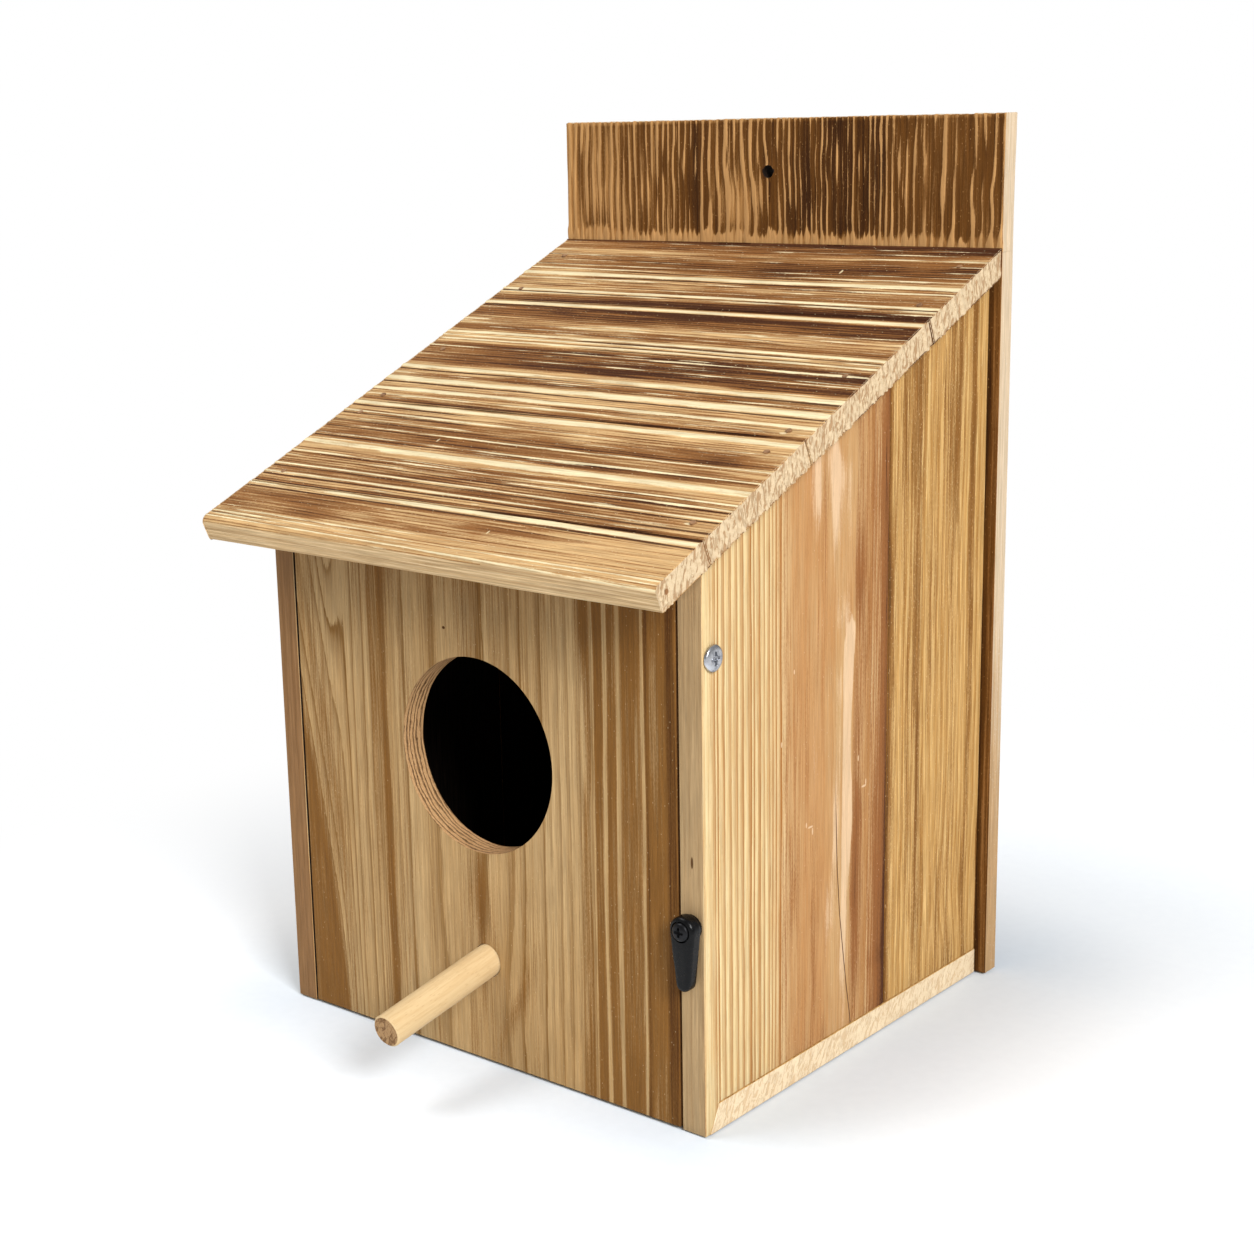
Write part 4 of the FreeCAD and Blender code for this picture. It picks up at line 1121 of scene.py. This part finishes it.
def make_walls(finish):
    for side, sign in (("left", -1), ("right", 1)):
        inner, outer = sorted((WALL_INNER * sign, WALL_OUTER * sign))
        _, _, pivot = box_mm(f"pivot_screw_{side}")
        hole = dict(radius=PIVOT_RADIUS, start=inner - 2, end=outer + 2, axis=0, centre=pivot[1:],
                    around=40, along=4)

        def hidden(n, c):
            return (n[:, 0] * sign < -0.8) | (np.abs(c[:, 1] - WALL_JOINT) < 0.02)
        front_edge = "strip" if side == "right" else "left"
        front = lines(WALL_FRONT, WALL_JOINT, 0.5, EASE, TOE)
        rear = lines(WALL_JOINT, WALL_REAR, 0.5)
        parts = (("front", front, "wall", front_edge, wall_fields, [hole]),
                 ("rear", rear, "rear", "strip", rear_fields, []))
        for part, us, broad, edge, fields, holes in parts:

            def shape(flat):
                soft = eased(flat, (us[0], inner, 0), (us[-1], outer, 100))
                foot = toe(soft[:, 0])
                soft[:, 2] = foot + (wall_top(soft[:, 0]) - foot) * soft[:, 2] / 100
                return soft
            node = f"side_{side}_{part}_board"
            grids = (us, lines(inner, outer, 1.6), lines(0, 100, 1.7, 0.2))
            board(f"{node}_planed", node, "house", UPRIGHT_Y, ORIGIN, grids, shape, fields, 0.0,
                  coats(finish, f"{broad} {edge} end inner", (3, hidden)), holes)


def make_back(finish):
    low, high, _ = box_mm("backboard")
    heights = np.concatenate([lines(low[2], 225.5, 7.0), lines(225.8, high[2], 1.1)])
    grids = (lines(low[0], high[0], 0.38), lines(low[1], high[1], 1.6), heights)
    hole = dict(radius=HANGING_RADIUS, start=low[1] - 2, end=high[1] + 2, axis=1, centre=HANGING_HOLE,
                around=40, along=5)

    def hidden(n, c):
        behind = (c[:, 2] > THICK) & (c[:, 2] < wall_top(WALL_REAR))
        return (n[:, 1] < -0.8) & (np.abs(c[:, 0]) < WALL_INNER) & behind

    # The hanging hole's bore takes the near-black inside finish as painted shade.
    def in_hole(_, c):
        return np.hypot(c[:, 0], c[:, 2] - HANGING_HOLE[1]) < HANGING_RADIUS + 0.05
    board("backboard_brushed", "backboard", "house", UPRIGHT_X, ORIGIN, grids,
          lambda flat: eased(flat, low, high), back_fields, 0.4,
          coats(finish, "back cream cream inner", (3, hidden), (3, in_hole)), [hole])


def make_floor(finish):
    low, high, _ = box_mm("floor_board")
    lo, hi = low[[1, 2, 0]], high[[1, 2, 0]]

    def shape(flat):
        soft = eased(flat, lo, hi, 0.3)
        share = (hi[0] - soft[:, 0]) / (hi[0] - lo[0])
        soft[:, 0] += 4.0 * share * np.clip(soft[:, 1] / THICK, 0, 1)
        return soft

    def inside(n, c):
        return (n[:, 2] > 0.8) & (np.abs(c[:, 0]) < WALL_INNER)
    grids = [lines(lo[i], hi[i], gap, 0.3) for i, gap in enumerate((1.2, 1.0, 4.0))]
    board("floor_board_planed", "floor_board", "house", LEVEL, ORIGIN, grids, shape,
          floor_fields, 0.0, coats(finish, "rear strip low_end inner", (3, inside)))


def make_door(finish):
    lo, hi, _ = box_mm("front_door")
    foot = 8.0

    def shape(flat):
        soft = eased(flat, lo, hi, 0.35)
        height = soft[:, 2] - lo[2]
        back = np.where(height < foot, lo[1] + 1.7 + 0.5 * height, hi[1])
        soft[:, 1] = lo[1] + (soft[:, 1] - lo[1]) * (back - lo[1]) / (hi[1] - lo[1])
        return soft
    grids = (lines(lo[0], hi[0], 0.42, 0.35), lines(lo[1], hi[1], 1.6, 0.35),
             lines(lo[2], hi[2], 2.6, 0.35, (lo[2] + foot - 0.01, lo[2] + foot + 0.01)))
    through = dict(start=lo[1] - 2, end=hi[1] + 2, axis=1)
    _, front, rear = perch_axis()
    meeting = front + (rear - front) * (lo[1] - front[1]) / (rear[1] - front[1])
    holes = [
        dict(radius=ENTRANCE_RADIUS, centre=ENTRANCE, around=180, along=12, **through),
        dict(radius=PERCH_HOLE_RADIUS, centre=meeting[[0, 2]], around=60, along=4, pivot=meeting, **through),
    ]

    def inside(n, c):
        return (n[:, 1] > 0.6) & (c[:, 2] > lo[2] + foot)

    def in_entrance(n, c):
        away = np.hypot(c[:, 0], c[:, 2] - ENTRANCE[1])
        return (away < ENTRANCE_RADIUS + 0.4) & (np.abs(n[:, 1]) < 0.5)
    colours = coats(finish, "door left end inner entrance", (3, inside), (4, in_entrance))
    board("front_door_planed", "front_door", "door", UPRIGHT_X, ORIGIN, grids, shape,
          door_fields, 0.0, colours, holes)


def paint_brads(material):
    for node in ("roof_brads", "floor_brads", "backboard_brads"):
        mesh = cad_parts[node].data
        mesh.materials.clear()
        mesh.materials.append(material)


# ---------------------------------------------------------------- studio

def lamp(name, azimuth, elevation, distance, size, level):
    """A soft square lamp aimed at the house. azimuth is from the front round to the right."""
    around, up = math.radians(azimuth), math.radians(elevation)
    way = Vector((math.sin(around) * math.cos(up), -math.cos(around) * math.cos(up), math.sin(up)))
    light = bpy.data.lights.new(name, "AREA")
    light.shape = "SQUARE"
    light.size = size
    light.energy = level * math.pi ** 2 * distance ** 2
    lit = in_scene(name, light)
    lit.location = Vector((0, 0, 0.12)) + way * distance
    lit.rotation_euler = (-way).to_track_quat("-Z", "Y").to_euler()


def make_stage(material):
    """A round floor just under the house."""
    radius, sides, drop = 4.0, 96, -0.0004
    angles = np.linspace(0, 2 * np.pi, sides, endpoint=False)
    rim = [(radius * math.cos(a), radius * math.sin(a), drop) for a in angles]
    mesh = bpy.data.meshes.new("studio_floor")
    mesh.from_pydata([(0, 0, drop), *rim], [], [(0, i + 1, (i + 1) % sides + 1) for i in range(sides)])
    mesh.materials.append(material)
    in_scene("studio_floor", mesh)


def make_world(level):
    """A white backdrop whose light on the house is softer than its look."""
    g = Graph("studio", "worlds")
    white = {"Color": (1, 1, 1, 1)}
    glow = g.node("ShaderNodeBackground", {**white, "Strength": level}).outputs[0]
    seen = g.node("ShaderNodeBackground", white).outputs[0]
    looked_at = g.node("ShaderNodeLightPath").outputs["Is Camera Ray"]
    both = g.node("ShaderNodeMixShader", (looked_at, glow, seen)).outputs[0]
    bpy.context.scene.world = g.output(both, "ShaderNodeOutputWorld")


def make_camera():
    yaw, pitch, roll = 0.686, 0.231, -0.017
    forward = Vector((-math.sin(yaw) * math.cos(pitch), math.cos(yaw) * math.cos(pitch), -math.sin(pitch)))
    right = Vector((math.cos(yaw), math.sin(yaw), 0))
    up = right.cross(forward)
    side = right * math.cos(roll) + up * math.sin(roll)
    top = up * math.cos(roll) - right * math.sin(roll)
    place = Matrix((side, top, -forward)).transposed().to_4x4()
    place.translation = Vector((0.38655, -0.47519, 0.25992))
    camera = bpy.data.cameras.new("view")
    camera.lens = 59.43
    camera.sensor_width = 36
    camera.clip_start = 0.01
    seen = in_scene("view", camera)
    seen.matrix_world = place
    bpy.context.scene.camera = seen


def main():
    finish = palettes()
    make_back(finish)
    make_roof(finish)
    make_walls(finish)
    make_floor(finish)
    make_door(finish)
    make_perch(beech("perch_beech", under(1.6, (250, 218, 166), (240, 204, 150), (206, 162, 108))),
               end_wood("perch_end", under(1.2, (196, 158, 114), (168, 130, 88), (116, 80, 48)),
                        dark=0.8, pitch=0.8))
    zinc = metal("zinc_plated", srgb(194, 196, 201), srgb(150, 152, 158), rough=0.22)
    black = metal("blackened_steel", srgb(34, 34, 36), srgb(22, 22, 24), rough=0.3, metallic=0.8)
    make_screws(zinc, black)
    make_button(plastic("black_lever"))
    paint_brads(metal("brad_steel", srgb(150, 112, 76), srgb(108, 76, 48), rough=0.55, metallic=0.2))
    make_stage(paper("studio_paper", near=0.15, far=0.36))
    make_world(level=0.4)
    lamp("key", azimuth=62, elevation=30, distance=1.7, size=0.6, level=1.15)
    lamp("top", azimuth=-50, elevation=60, distance=1.9, size=1.0, level=0.55)
    make_camera()
    bpy.context.scene.view_settings.view_transform = "Standard"


main()
